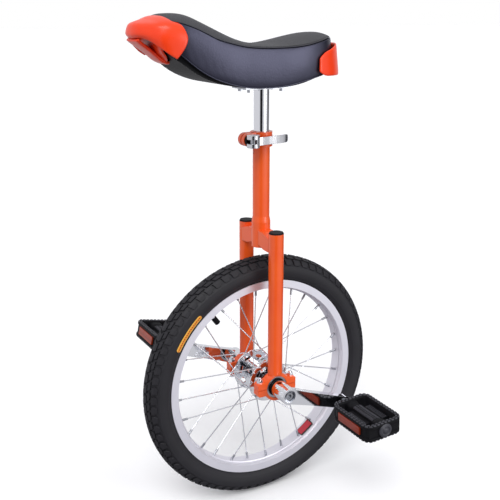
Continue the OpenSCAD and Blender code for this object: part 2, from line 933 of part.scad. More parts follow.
module holder(s) {
    color(orange)
        difference() {
            along_y(s * bearing_y - holder_w / 2, s * bearing_y + holder_w / 2)
                holder_plan();
            axle_bar(s * bearing_y - holder_w, s * bearing_y + holder_w, bearing_r);
            translate([-ear_end_x - 1, s * bearing_y - holder_w, axle_z - 2 * holder_r + split_gap / 2])
                cube([2 * ear_end_x + 2, 2 * holder_w, 2 * holder_r]);
            bolt_bars(s, holder_bolt_d / 2);
        }
}

module left_bearing_holder() {
    holder(1);
}

module right_bearing_holder() {
    holder(-1);
}

module bearing_cap(s) {
    color(orange)
        difference() {
            along_y(s * bearing_y - holder_w / 2, s * bearing_y + holder_w / 2)
                cap_plan();
            axle_bar(s * bearing_y - holder_w, s * bearing_y + holder_w, bearing_r);
            translate([-ear_end_x - 1, s * bearing_y - holder_w, axle_z - split_gap / 2])
                cube([2 * ear_end_x + 2, 2 * holder_w, 2 * holder_r]);
            bolt_bars(s, holder_bolt_d / 2);
        }
}

module left_bearing_cap() {
    bearing_cap(1);
}

module right_bearing_cap() {
    bearing_cap(-1);
}

module holder_bolts() {
    low = axle_z - ear_h + 1;
    high = axle_z + ear_h;
    color(chrome)
        for (s = [-1, 1])
            for (x = [-holder_bolt_x, holder_bolt_x])
                translate([x, s * bearing_y, 0])
                    union() {
                        translate([0, 0, low - hex_t])
                            cylinder(h = hex_t, r = hex_r, $fn = 6);
                        translate([0, 0, low - eps])
                            cylinder(h = high - low + hex_t + bolt_stick, r = holder_bolt_d / 2);
                    }
}

module holder_nuts() {
    color(chrome)
        for (s = [-1, 1])
            for (x = [-holder_bolt_x, holder_bolt_x])
                translate([x, s * bearing_y, axle_z + ear_h])
                    difference() {
                        cylinder(h = hex_t, r = hex_r, $fn = 6);
                        translate([0, 0, -1])
                            cylinder(h = hex_t + 2, r = holder_bolt_d / 2);
                    }
}

// ---- seat post clamp ----

module clamp_collar() {
    color(orange)
        difference() {
            union() {
                translate([0, 0, collar_z])
                    cylinder(h = collar_h, r = collar_out_r);
                along_y(-ear_out_y, ear_out_y)
                    translate([ear_x, clamp_z])
                        circle(ear_r);
                translate([0, -ear_out_y, clamp_z - ear_r])
                    cube([ear_x, 2 * ear_out_y, 2 * ear_r]);
            }
            translate([0, 0, collar_z - 1])
                cylinder(h = collar_h - 2, r = collar_in_r);
            translate([0, 0, collar_z])
                cylinder(h = collar_h + 1, r = post_d / 2 + play);
            translate([0, -ear_gap / 2, collar_z - 1])
                cube([ear_x + 2 * ear_r, ear_gap, collar_h + 2]);
            along_y(-ear_out_y - 1, ear_out_y + 1)
                translate([ear_x, clamp_z])
                    circle(skewer_r + play);
        }
}

module skewer_bar(y0, y1, r) {
    along_y(y0, y1)
        translate([ear_x, clamp_z])
            circle(r);
}

module clamp_skewer() {
    color(steel)
        skewer_bar(nut_side_y, cam_y, skewer_r);
}

module clamp_nut() {
    color(chrome)
        difference() {
            union() {
                skewer_bar(-ear_out_y - clamp_nut_t + 3, -ear_out_y, clamp_nut_r);
                skewer_bar(nut_side_y - 1, -ear_out_y, clamp_nut_r - 2.5);
            }
            skewer_bar(nut_side_y, 0, skewer_r);
        }
}

module cam_washer() {
    color(black)
        difference() {
            skewer_bar(ear_out_y, ear_out_y + 5, washer_r);
            skewer_bar(0, ear_out_y + 6, skewer_r + play);
            translate([ear_x, cam_y, clamp_z - cam_h])
                cylinder(h = 2 * cam_h, r = cam_r + cam_turn_clear);
        }
}

module cam_pin() {
    color(steel)
        difference() {
            translate([ear_x, cam_y, clamp_z - cam_h / 2])
                cylinder(h = cam_h, r = pin_r);
            skewer_bar(0, cam_y, skewer_r);
        }
}

module cam_lever() {
    tip = ear_x - lever_len;
    outer = curve([[ear_x, cam_y + 7], [ear_x - 14, cam_y + 6.5], [0, cam_y + 4.5],
                   [tip * 0.5, cam_y + 2.5], [tip * 0.85, cam_y - 1.5], [tip, cam_y - 6]]);
    inner = [for (q = outer) [q[0], q[1] - strap_t]];
    color(chrome)
        difference() {
            union() {
                translate([ear_x, cam_y, clamp_z - cam_h / 2])
                    cylinder(h = cam_h, r = cam_r);
                intersection() {
                    translate([0, 0, clamp_z - strap_h / 2])
                        linear_extrude(strap_h)
                            polygon(concat(outer, backward(inner)));
                    along_y(0, cam_y + 20)
                        union() {
                            translate([tip + strap_h / 2, clamp_z])
                                circle(strap_h / 2);
                            translate([tip + strap_h / 2, clamp_z - strap_h / 2])
                                square([lever_len, strap_h]);
                        }
                }
            }
            translate([ear_x, cam_y, clamp_z - cam_h])
                cylinder(h = 2 * cam_h, r = pin_r + fit);
            translate([ear_x, cam_y, clamp_z - skewer_slot / 2])
                difference() {
                    cylinder(h = skewer_slot, r = cam_r + 1);
                    translate([-2 * cam_r, pin_r + 1, -1])
                        cube([2 * cam_r - slot_lip, cam_r, skewer_slot + 2]);
                }
        }
}

// ---- seat post and saddle ----

module post_holes(r, z0, z1) {
    for (x = [-saddle_bolt_x, saddle_bolt_x])
        for (y = [-saddle_bolt_y, saddle_bolt_y])
            translate([x, y, z0])
                cylinder(h = z1 - z0, r = r);
}

module seat_post() {
    color(chrome)
        translate([0, 0, post_bottom])
            difference() {
                cylinder(h = post_len, r = post_d / 2);
                translate([0, 0, -1])
                    cylinder(h = post_len + 2, r = post_d / 2 - post_wall);
            }
}

module seat_post_plate() {
    color(steel)
        difference() {
            translate([-plate_x / 2, -plate_y / 2, post_top])
                cube([plate_x, plate_y, plate_t]);
            post_holes(saddle_bolt_r + play, post_top - 1, post_top + plate_t + 1);
        }
}

module pan_plan(shrink) {
    intersection() {
        polygon(outline(plan, -shrink));
        translate([-400, -200])
            square([400 + 196 * ks, 400]);
    }
}

module saddle_base() {
    color(black)
        difference() {
            union() {
                intersection() {
                    along_y(-side_y, side_y)
                        polygon(concat(under_pts, backward(hem_pts)));
                    translate([0, 0, saddle_z - 50])
                        linear_extrude(300)
                            pan_plan(base_inset);
                }
                base_pad();
            }
            post_holes(saddle_bolt_r + play, saddle_z - 1, saddle_z + 2 * pad_h);
            trim_screw_bars(screw_r);
        }
}

module base_pad() {
    translate([-plate_x / 2 - pad_edge, -plate_y / 2 - pad_edge, saddle_z])
        cube([plate_x + 2 * pad_edge, plate_y + 2 * pad_edge, pad_h]);
}

// bars where the screws of the handle and the rear bumper go up through the base
module trim_screw_bars(r) {
    for (y = [-rear_screw_y, rear_screw_y])
        translate([rear_screw_x * ks, y, under_at(rear_screw_x * ks) - 2 * flange_plate_t])
            cylinder(h = 2 * flange_plate_t + screw_grip, r = r);
    for (y = [-front_screw_y, front_screw_y])
        translate([front_screw_x * ks, y, under_at(front_screw_x * ks) - 2 * flange_plate_t])
            cylinder(h = 2 * flange_plate_t + screw_grip, r = r);
}

module saddle_core(shrink, drop) {
    difference() {
        intersection() {
            along_y(-side_y, side_y)
                polygon(concat(hem_pts, backward(lifted(ridge_pts, -drop))));
            translate([0, 0, saddle_z - 50])
                linear_extrude(300)
                    polygon(outline(plan, -shrink));
        }
        children();
    }
}

// the room that the base's pad, the nuts and the screws take out of the foam
module base_room() {
    base_pad();
    post_holes(saddle_nut_r + 1.5, saddle_z, saddle_z + pad_h + saddle_nut_t + 8);
    trim_screw_bars(screw_r + play);
}

module saddle_foam() {
    color([0.85, 0.82, 0.6])
        saddle_core(cover_t, cover_t)
            base_room();
}

module saddle_cover() {
    color(black)
        difference() {
            saddle_core(0, 0)
                base_room();
            intersection() {
                along_y(-side_y, side_y)
                    polygon(concat(lifted(hem_pts, -1), backward(lifted(ridge_pts, -cover_t))));
                translate([0, 0, saddle_z - 50])
                    linear_extrude(300)
                        polygon(outline(plan, -cover_t));
            }
        }
}

// side outline of the handle's hood, over the top from the back and home along its lower edge
function trim_at(x, z) = [x * ks, saddle_lift + z];
function hood_over(d) = [for (q = [[172, 110], [184, 112], [196, 110.5], [207, 106], [217, 101],
                                   [225, 96]]) trim_at(q[0] - d * 0.6, q[1] - d)];
function hood_under() = [trim_at(229.5, 90), trim_at(229.5, 73), trim_at(222, 78), trim_at(214, 75),
                         trim_at(206, 68), trim_at(197, 60.5), trim_at(187, 54), trim_at(175, 47),
                         trim_at(169, 60), trim_at(164, 77), trim_at(168, 98)];

module hood_outline(d) {
    side = [for (q = curve(hood_plan, 2)) if (q[1] * kw - d > 1) [q[0] * ks - d * 0.7, q[1] * kw - d]];
    polygon(concat([[130 * ks, side[0][1]]], side, [[(hood_plan[len(hood_plan) - 1][0]) * ks - d, 0]],
                   [for (q = backward(side)) [q[0], -q[1]]], [[130 * ks, -side[0][1]]]));
}

module front_handle() {
    color(orange)
        difference() {
            union() {
                difference() {
                    intersection() {
                        along_y(-side_y, side_y)
                            polygon(concat(hood_over(0), hood_under()));
                        translate([0, 0, saddle_z])
                            linear_extrude(200)
                                hood_outline(0);
                    }
                    intersection() {
                        along_y(-side_y - 1, side_y + 1)
                            polygon(concat([trim_at(120, 20), trim_at(120, 110 - bumper_t)],
                                           hood_over(bumper_t), [trim_at(226 - bumper_t, 20)]));
                        translate([0, 0, saddle_z - 1])
                            linear_extrude(202)
                                hood_outline(bumper_t);
                    }
                }
                handle_web();
            }
            base_clear();
        }
}

// the web under the hood that carries it on the base
module handle_web() {
    along_y(-11, 11)
        polygon([trim_at(166, 36), trim_at(176, 39.5), trim_at(193, 49.5), trim_at(218, 67),
                 trim_at(226.5, 75), trim_at(225, 93), trim_at(208, 103), trim_at(201, 102),
                 trim_at(206, 80), trim_at(190, 58), trim_at(178, 50)]);
}

// what the cover, the base and the screws take up, with a little clearance
module base_clear() {
    intersection() {
        along_y(-side_y, side_y)
            polygon(concat(lifted(hem_pts, -skirt_clear), backward(lifted(ridge_pts, skirt_clear))));
        translate([0, 0, saddle_z - 50])
            linear_extrude(300)
                polygon(outline(plan, skirt_clear));
    }
    intersection() {
        along_y(-side_y, side_y)
            polygon(concat(under_pts, backward(lifted(under_pts, 30))));
        translate([0, 0, saddle_z - 50])
            linear_extrude(300)
                pan_plan(base_inset);
    }
    trim_screw_bars(screw_r);
    for (y = [-rear_screw_y, rear_screw_y])
        screw_pocket(rear_screw_x * ks, y);
    for (y = [-front_screw_y, front_screw_y])
        screw_pocket(front_screw_x * ks, y);
}

// pocket that takes a screw's head up to the tab that it holds
module screw_pocket(x, y) {
    translate([x, y, under_at(x) - flange_plate_t - pocket_deep])
        cylinder(h = pocket_deep, r = screw_head_r + play);
}

module rear_bumper() {
    tab_end = (rear_screw_x + 14) * ks;
    color(orange)
        difference() {
            union() {
                intersection() {
                    along_y(-side_y, side_y)
                        polygon([trim_at(-64, 17), trim_at(-60, 22), trim_at(-60, 46), trim_at(-70, 56),
                                 trim_at(-88, 64), trim_at(-140, 70), trim_at(-140, 30),
                                 trim_at(-100, 20)]);
                    translate([0, 0, saddle_z])
                        linear_extrude(200)
                            difference() {
                                polygon(outline(plan, bumper_t + 3));
                                polygon(outline(plan, skirt_clear));
                            }
                }
                intersection() {
                    along_y(-rear_screw_y - 12, rear_screw_y + 12)
                        polygon([[tab_end, under_at(tab_end) - flange_plate_t],
                                 [tab_end, under_at(tab_end)],
                                 [-114 * ks, under_at(-114 * ks)],
                                 [-118 * ks, under_at(-118 * ks) + 6],
                                 [-122 * ks, under_at(-122 * ks) + 6],
                                 [-120 * ks, under_at(-120 * ks) - flange_plate_t]]);
                    translate([0, 0, saddle_z - 50])
                        linear_extrude(300)
                            polygon(outline(plan, bumper_t + 3));
                }
            }
            base_clear();
        }
}

module saddle_bolts() {
    color(steel)
        for (x = [-saddle_bolt_x, saddle_bolt_x])
            for (y = [-saddle_bolt_y, saddle_bolt_y])
                translate([x, y, post_top - saddle_nut_t])
                    union() {
                        cylinder(h = saddle_nut_t, r = saddle_nut_r, $fn = 6);
                        cylinder(h = 2 * saddle_nut_t + plate_t + pad_h + 1, r = saddle_bolt_r);
                    }
}

module saddle_nuts() {
    color(steel)
        for (x = [-saddle_bolt_x, saddle_bolt_x])
            for (y = [-saddle_bolt_y, saddle_bolt_y])
                translate([x, y, saddle_z + pad_h])
                    difference() {
                        cylinder(h = saddle_nut_t, r = saddle_nut_r, $fn = 6);
                        translate([0, 0, -1])
                            cylinder(h = saddle_nut_t + 2, r = saddle_bolt_r);
                    }
}

module trim_screw(x, y) {
    base = under_at(x * ks);
    translate([x * ks, y, 0])
        union() {
            translate([0, 0, base - flange_plate_t - screw_head_t])
                cylinder(h = screw_head_t, r = screw_head_r);
            translate([0, 0, base - flange_plate_t - eps])
                cylinder(h = flange_plate_t + screw_grip - 1, r = screw_r);
        }
}

// screws that hold the rear bumper and the front handle up under the base
module trim_screws() {
    color(steel)
        union() {
            for (y = [-rear_screw_y, rear_screw_y])
                trim_screw(rear_screw_x, y);
            for (y = [-front_screw_y, front_screw_y])
                trim_screw(front_screw_x, y);
        }
}

tyre();
inner_tube();
rim_tape();
rim();
spokes();
spoke_nipples();
valve_stem();
valve_cap();
hub_shell();
axle();
left_bearing_inner();
right_bearing_inner();
left_bearing_outer();
right_bearing_outer();
bearing_balls();
bearing_seals();
axle_spacers();
left_crank();
right_crank();
crank_bolts();
left_pedal_spindle();
right_pedal_spindle();
left_pedal_body();
right_pedal_body();
left_pedal_reflectors();
right_pedal_reflectors();
left_pedal_cap();
right_pedal_cap();
pedal_spindle_nuts();
left_leg();
right_leg();
leg_plugs();
seat_tube();
fork_crown();
left_bearing_holder();
right_bearing_holder();
left_bearing_cap();
right_bearing_cap();
holder_bolts();
holder_nuts();
clamp_collar();
clamp_skewer();
clamp_nut();
cam_washer();
cam_pin();
cam_lever();
seat_post();
seat_post_plate();
saddle_base();
saddle_foam();
saddle_cover();
front_handle();
rear_bumper();
saddle_bolts();
saddle_nuts();
trim_screws();
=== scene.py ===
# %% [markdown]
# # A unicycle, one piece at a time
# The fork, wheel, cranks and clamp were drawn in CAD, and are loaded here in metres, where they stay.
# This script gives them finishes, and models what CAD is poor at: the tyre's tread, the soft seat,
# the moulded handle, and the pedals with their teeth. +X is forward, +Y the rider's left, +Z up.

import json
import math

import bmesh
import bpy
from mathutils import Matrix, Vector, noise
from mathutils.bvhtree import BVHTree


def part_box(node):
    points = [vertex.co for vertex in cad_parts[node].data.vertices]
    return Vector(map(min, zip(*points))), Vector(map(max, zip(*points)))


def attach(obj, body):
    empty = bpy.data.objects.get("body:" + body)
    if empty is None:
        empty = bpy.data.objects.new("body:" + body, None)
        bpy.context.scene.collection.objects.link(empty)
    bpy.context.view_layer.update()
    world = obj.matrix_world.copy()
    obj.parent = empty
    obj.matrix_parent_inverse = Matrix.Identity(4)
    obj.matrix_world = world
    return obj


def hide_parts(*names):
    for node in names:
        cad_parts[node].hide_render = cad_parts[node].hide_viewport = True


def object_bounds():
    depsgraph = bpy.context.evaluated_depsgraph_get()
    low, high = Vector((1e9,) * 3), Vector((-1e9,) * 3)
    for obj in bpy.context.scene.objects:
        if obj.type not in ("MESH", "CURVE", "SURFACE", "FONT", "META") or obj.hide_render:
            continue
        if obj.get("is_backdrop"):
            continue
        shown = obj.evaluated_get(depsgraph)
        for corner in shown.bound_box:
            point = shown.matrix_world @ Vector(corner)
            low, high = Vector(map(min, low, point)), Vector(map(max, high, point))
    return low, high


MM = 0.001
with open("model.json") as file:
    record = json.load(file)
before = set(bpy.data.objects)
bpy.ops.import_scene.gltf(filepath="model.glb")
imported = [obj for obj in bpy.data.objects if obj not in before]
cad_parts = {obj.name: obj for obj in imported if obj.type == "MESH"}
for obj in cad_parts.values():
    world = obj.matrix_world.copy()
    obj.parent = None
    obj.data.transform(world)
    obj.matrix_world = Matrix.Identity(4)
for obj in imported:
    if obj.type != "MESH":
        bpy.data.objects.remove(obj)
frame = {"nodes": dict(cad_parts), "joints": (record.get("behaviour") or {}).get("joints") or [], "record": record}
record = frame["record"]
cad_box = [list(corner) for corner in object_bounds()]
print("the model's box in metres:", cad_box)

# %% [markdown]
# ## Camera, floor and light
# A picture of a shiny thing is mostly a picture of its lights. Chrome shows whatever is round it, so
# the sky here is pale with a few dark bands, as in a studio hung with white cloth. A soft sun comes
# from above and one softbox stands beside the unicycle. The floor is plain and nearly white.

# %% Camera
camera = bpy.data.objects.new("camera", bpy.data.cameras.new("camera"))
camera.data.lens = 56.858
camera.data.sensor_width = 36
look = Vector((-0.474285, -0.831569, -0.289044))
camera.matrix_world = (Matrix.Translation((0.659976, 1.119413, 0.851914))
                       @ look.to_track_quat("-Z", "Y").to_matrix().to_4x4())
bpy.context.scene.collection.objects.link(camera)
bpy.context.scene.camera = camera
bpy.context.scene.view_settings.view_transform = "Standard"
print("the camera looks down by", round(math.degrees(math.asin(-look.normalized().z)), 1), "degrees")


# %% Colours and nodes
def srgb(code):
    """Linear colour of a hex code such as #2B2B2F."""
    parts = [int(code[i:i + 2], 16) / 255 for i in (1, 3, 5)]
    return [c / 12.92 if c <= 0.04045 else ((c + 0.055) / 1.055) ** 2.4 for c in parts] + [1.0]


def add(tree, kind, inputs=None, **settings):
    """Adds a node, sets what it is given, and joins any input that is another node's output."""
    node = tree.nodes.new(kind)
    for name, value in settings.items():
        setattr(node, name, value)
    for name, value in (inputs or {}).items():
        if isinstance(value, bpy.types.NodeSocket):
            tree.links.new(value, node.inputs[name])
        else:
            node.inputs[name].default_value = value
    return node


FACTOR, COLOUR_A, COLOUR_B, COLOUR_OUT = 0, 6, 7, 2     # sockets of a Mix node that mixes colours

# %% Sky
world = bpy.data.worlds.new("studio")
bpy.context.scene.world = world
world.use_nodes = True
sky = world.node_tree
sky.nodes.clear()
way = add(sky, "ShaderNodeSeparateXYZ",
          {"Vector": add(sky, "ShaderNodeTexCoord").outputs["Generated"]})
around = add(sky, "ShaderNodeMath", {0: way.outputs["Y"], 1: way.outputs["X"]}, operation="ARCTAN2")
turns = add(sky, "ShaderNodeMath", {0: around.outputs[0], 1: 3.0, 2: -1.45},
            operation="MULTIPLY_ADD")
wave = add(sky, "ShaderNodeMath", {0: turns.outputs[0]}, operation="SINE")
band = add(sky, "ShaderNodeMapRange", {"Value": wave.outputs[0], "From Min": 0.3, "From Max": 0.8})
near = add(sky, "ShaderNodeMapRange", {"Value": way.outputs["Y"], "From Min": -0.6,
                                       "From Max": -0.2})
hung = add(sky, "ShaderNodeMath", {0: band.outputs[0], 1: near.outputs[0]}, operation="MULTIPLY")
cloth = add(sky, "ShaderNodeMix", {FACTOR: hung.outputs[0], COLOUR_A: srgb("#F6F6FA"),
                                   COLOUR_B: srgb("#202026")}, data_type="RGBA")
up = add(sky, "ShaderNodeMapRange", {"Value": way.outputs["Z"], "From Min": 0.35, "From Max": 0.8})
dome = add(sky, "ShaderNodeMix", {FACTOR: up.outputs[0], COLOUR_A: cloth.outputs[COLOUR_OUT],
                                  COLOUR_B: srgb("#FBFCFF")}, data_type="RGBA")
down = add(sky, "ShaderNodeMapRange", {"Value": way.outputs["Z"], "From Min": -0.3,
                                       "From Max": -0.85})
bowl = add(sky, "ShaderNodeMix", {FACTOR: down.outputs[0], COLOUR_A: dome.outputs[COLOUR_OUT],
                                  COLOUR_B: srgb("#A4A4AC")}, data_type="RGBA")
seen = add(sky, "ShaderNodeLightPath")
glow = add(sky, "ShaderNodeBackground", {"Color": bowl.outputs[COLOUR_OUT], "Strength": 0.8})
backdrop = add(sky, "ShaderNodeBackground", {"Color": srgb("#FFFFFF"), "Strength": 1.0})
either = add(sky, "ShaderNodeMixShader", {0: seen.outputs["Is Camera Ray"], 1: glow.outputs[0],
                                          2: backdrop.outputs[0]})
add(sky, "ShaderNodeOutputWorld", {"Surface": either.outputs[0]})
print("the sky has", len(sky.nodes), "nodes")

# %% Lamps
sun = bpy.data.objects.new("soft_sun", bpy.data.lights.new("soft_sun", "SUN"))
sun.data.energy = 1.5
sun.data.angle = math.radians(35)
sun.rotation_euler = Vector((-0.55, -0.6, -1.0)).to_track_quat("-Z", "Y").to_euler()
bpy.context.scene.collection.objects.link(sun)
softbox = bpy.data.objects.new("softbox", bpy.data.lights.new("softbox", "AREA"))
softbox.data.shape = "RECTANGLE"
softbox.data.size = 0.9
softbox.data.size_y = 1.3
softbox.data.energy = 14
softbox.location = (-0.95, 1.9, 0.95)
softbox.rotation_euler = (Vector((0, 0, 0.7)) - softbox.location).to_track_quat("-Z", "Y").to_euler()
bpy.context.scene.collection.objects.link(softbox)
print("one soft sun and one softbox")

# %% [markdown]
# The floor is seen by the camera and takes the soft shadow, but it isn't reflected and lights
# nothing: the lower half of the sky stands in for it, with the dark bands that a real studio has
# beyond the edge of its paper. Without them the chrome would mirror a blank sheet and look like grey
# plastic.

# %% Floor
floor_mesh = bpy.data.meshes.new("floor")
FLOOR_HALF = 40                       # metres, far past the edge of any view
corners = [(x * FLOOR_HALF, y * FLOOR_HALF, 0) for x, y in ((-1, -1), (1, -1), (1, 1), (-1, 1))]
floor_mesh.from_pydata(corners, [], [(0, 1, 2, 3)])
floor = bpy.data.objects.new("floor", floor_mesh)
bpy.context.scene.collection.objects.link(floor)
paper = bpy.data.materials.new("paper")
paper.use_nodes = True
paper.node_tree.nodes.clear()
paper_shade = add(paper.node_tree, "ShaderNodeBsdfDiffuse", {"Color": srgb("#FDFDFE")})
add(paper.node_tree, "ShaderNodeOutputMaterial", {"Surface": paper_shade.outputs[0]})
floor_mesh.materials.append(paper)
floor.visible_glossy = False
floor.visible_diffuse = False
floor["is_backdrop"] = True
print("the floor is", round(floor.dimensions.x), "m wide")

# %% [markdown]
# ## Finishes
# Each one starts from what the real thing is and how its surface was made. A pattern's scale is worked
# out from a real size in millimetres; a grain that is too fine to see is drawn a little coarser.


# %% Making a finish
def per(size):
    """A texture's scale, for features of this size in millimetres on Object coordinates in metres."""
    return 1 / (size * MM)


def begin(name):
    """A new empty material, its node tree, and its Object coordinates."""
    made = bpy.data.materials.new(name)
    made.use_nodes = True
    made.node_tree.nodes.clear()
    return made, made.node_tree, add(made.node_tree, "ShaderNodeTexCoord").outputs["Object"]


def shade(made, sockets):
    """Ends a material with a Principled shader that has these values and links."""
    shader = add(made.node_tree, "ShaderNodeBsdfPrincipled", sockets)
    add(made.node_tree, "ShaderNodeOutputMaterial", {"Surface": shader.outputs[0]})
    print("finish:", made.name)
    return made


# %% [markdown]
# ### Orange enamel
# The fork is steel sprayed with gloss stoving enamel. It is smooth to the touch, but the paint dries
# with a faint orange peel that makes its highlights waver, and it rounds off every sharp edge.

# %% Orange enamel
made, tree, place = begin("orange_stoving_enamel")
cloud = add(tree, "ShaderNodeTexNoise", {"Vector": place, "Scale": per(45), "Detail": 3.0})
tint = add(tree, "ShaderNodeMix", {FACTOR: cloud.outputs["Fac"], COLOUR_A: srgb("#EE4F14"),
                                   COLOUR_B: srgb("#F8651E")}, data_type="RGBA")
peel = add(tree, "ShaderNodeTexNoise", {"Vector": place, "Scale": per(3.5), "Detail": 1.0})
soft = add(tree, "ShaderNodeBevel", {"Radius": 0.9 * MM}, samples=4)
bump = add(tree, "ShaderNodeBump", {"Height": peel.outputs["Fac"], "Distance": 0.06 * MM,
                                    "Strength": 0.5, "Normal": soft.outputs[0]})
enamel = shade(made, {"Base Color": tint.outputs[COLOUR_OUT], "Roughness": 0.36,
                      "Specular IOR Level": 0.4, "Coat Weight": 0.4, "Coat Roughness": 0.08,
                      "Normal": bump.outputs[0]})

# %% [markdown]
# ### Bright metals
# The post, cranks, hub and spokes are steel with chrome plate, a nearly perfect mirror with a faint
# haze. Small nuts and bolts are zinc plated, which is greyer and blotchy. The rim is rolled aluminium,
# anodised silver: satin, with fine lines round the wheel left by the rolls. The lever is polished.

# %% Chrome plate
made, tree, place = begin("chrome_plate")
haze = add(tree, "ShaderNodeTexNoise", {"Vector": place, "Scale": per(12), "Detail": 4.0})
rough = add(tree, "ShaderNodeMapRange", {"Value": haze.outputs["Fac"], "To Min": 0.03,
                                         "To Max": 0.11})
ripple = add(tree, "ShaderNodeTexNoise", {"Vector": place, "Scale": per(9), "Detail": 1.0})
soft = add(tree, "ShaderNodeBevel", {"Radius": 0.7 * MM}, samples=4)
bump = add(tree, "ShaderNodeBump", {"Height": ripple.outputs["Fac"], "Distance": 0.05 * MM,
                                    "Strength": 0.4, "Normal": soft.outputs[0]})
chrome = shade(made, {"Base Color": srgb("#EBECF0"), "Metallic": 1.0,
                      "Roughness": rough.outputs[0], "Normal": bump.outputs[0]})

# %% Zinc plate
made, tree, place = begin("bright_zinc_plate")
blotch = add(tree, "ShaderNodeTexNoise", {"Vector": place, "Scale": per(5), "Detail": 5.0})
tint = add(tree, "ShaderNodeMix", {FACTOR: blotch.outputs["Fac"], COLOUR_A: srgb("#8E9198"),
                                   COLOUR_B: srgb("#C4C6CB")}, data_type="RGBA")
rough = add(tree, "ShaderNodeMapRange", {"Value": blotch.outputs["Fac"], "To Min": 0.22,
                                         "To Max": 0.42})
zinc = shade(made, {"Base Color": tint.outputs[COLOUR_OUT], "Metallic": 1.0,
                    "Roughness": rough.outputs[0]})

# %% Anodised rim
axle = Vector(next(j for j in frame["joints"] if j["name"] == "wheel_spin")["pos_m"])
made, tree, place = begin("silver_anodised_aluminium")
flat = add(tree, "ShaderNodeVectorMath", {0: place, 1: tuple(axle)}, operation="SUBTRACT")
wide = add(tree, "ShaderNodeVectorMath", {0: flat.outputs[0], 1: (1, 0, 1)}, operation="MULTIPLY")
reach = add(tree, "ShaderNodeVectorMath", {0: wide.outputs[0]}, operation="LENGTH")
across = add(tree, "ShaderNodeSeparateXYZ", {"Vector": place})
rolled = add(tree, "ShaderNodeCombineXYZ", {"X": reach.outputs["Value"], "Y": across.outputs["Y"]})
lines = add(tree, "ShaderNodeTexNoise", {"Vector": rolled.outputs[0], "Scale": per(0.8),
                                         "Detail": 2.0})
cloud = add(tree, "ShaderNodeTexNoise", {"Vector": place, "Scale": per(30), "Detail": 2.0})
tint = add(tree, "ShaderNodeMix", {FACTOR: cloud.outputs["Fac"], COLOUR_A: srgb("#E6E5EE"),
                                   COLOUR_B: srgb("#F2F0F8")}, data_type="RGBA")
bump = add(tree, "ShaderNodeBump", {"Height": lines.outputs["Fac"], "Distance": 0.05 * MM,
                                    "Strength": 0.35})
anodised = shade(made, {"Base Color": tint.outputs[COLOUR_OUT], "Metallic": 0.75,
                        "Roughness": 0.42, "Normal": bump.outputs[0]})

# %% Polished lever
made, tree, place = begin("polished_steel")
grain = add(tree, "ShaderNodeMapping", {"Vector": place, "Scale": (0.08, 1, 1)})
lines = add(tree, "ShaderNodeTexNoise", {"Vector": grain.outputs[0], "Scale": per(0.9),
                                         "Detail": 2.0})
soft = add(tree, "ShaderNodeBevel", {"Radius": 0.8 * MM}, samples=4)
bump = add(tree, "ShaderNodeBump", {"Height": lines.outputs["Fac"], "Distance": 0.03 * MM,
                                    "Strength": 0.4, "Normal": soft.outputs[0]})
polished = shade(made, {"Base Color": srgb("#D5D6DA"), "Metallic": 1.0, "Roughness": 0.2,
                        "Normal": bump.outputs[0]})

# %% [markdown]
# ### Rubber and plastics
# Tyre rubber is nearly black, with a dull bloom of wax that gathers unevenly. The pedals, seat base,
# caps and seals are moulded plastic with a spark-eroded grain. The handle and rear bumper are gloss
# orange-red mouldings, and the reflectors are amber, over rows of little prisms.

# %% Tyre rubber
made, tree, place = begin("tyre_rubber")
bloom = add(tree, "ShaderNodeTexNoise", {"Vector": place, "Scale": per(28), "Detail": 5.0})
tint = add(tree, "ShaderNodeMix", {FACTOR: bloom.outputs["Fac"], COLOUR_A: srgb("#17161A"),
                                   COLOUR_B: srgb("#26252B")}, data_type="RGBA")
rough = add(tree, "ShaderNodeMapRange", {"Value": bloom.outputs["Fac"], "To Min": 0.5,
                                         "To Max": 0.72})
pores = add(tree, "ShaderNodeTexNoise", {"Vector": place, "Scale": per(0.9), "Detail": 2.0})
bump = add(tree, "ShaderNodeBump", {"Height": pores.outputs["Fac"], "Distance": 0.12 * MM,
                                    "Strength": 0.5})
rubber = shade(made, {"Base Color": tint.outputs[COLOUR_OUT], "Roughness": rough.outputs[0],
                      "Specular IOR Level": 0.4, "Normal": bump.outputs[0]})

# %% Black moulded plastic
made, tree, place = begin("black_nylon")
grain = add(tree, "ShaderNodeTexNoise", {"Vector": place, "Scale": per(0.7), "Detail": 2.0})
cloud = add(tree, "ShaderNodeTexNoise", {"Vector": place, "Scale": per(18), "Detail": 3.0})
tint = add(tree, "ShaderNodeMix", {FACTOR: cloud.outputs["Fac"], COLOUR_A: srgb("#0E0E10"),
                                   COLOUR_B: srgb("#18181C")}, data_type="RGBA")
bump = add(tree, "ShaderNodeBump", {"Height": grain.outputs["Fac"], "Distance": 0.08 * MM,
                                    "Strength": 0.5})
nylon = shade(made, {"Base Color": tint.outputs[COLOUR_OUT], "Roughness": 0.5,
                     "Specular IOR Level": 0.1, "Normal": bump.outputs[0]})

# %% The same plastic, mottled and lighter: a painted highlight for the light on the pedals' teeth, studs and caps
made, tree, place = begin("scuffed_nylon")
highlight_mottle = add(tree, "ShaderNodeTexNoise", {"Vector": place, "Scale": per(4), "Detail": 5.0,
                                          "Roughness": 0.7})
tint = add(tree, "ShaderNodeMix", {FACTOR: highlight_mottle.outputs["Fac"], COLOUR_A: srgb("#1C1C21"),
                                   COLOUR_B: srgb("#484851")}, data_type="RGBA")
bump = add(tree, "ShaderNodeBump", {"Height": highlight_mottle.outputs["Fac"], "Distance": 0.1 * MM,
                                    "Strength": 0.5})
highlit_nylon = shade(made, {"Base Color": tint.outputs[COLOUR_OUT], "Roughness": 0.4,
                       "Normal": bump.outputs[0]})

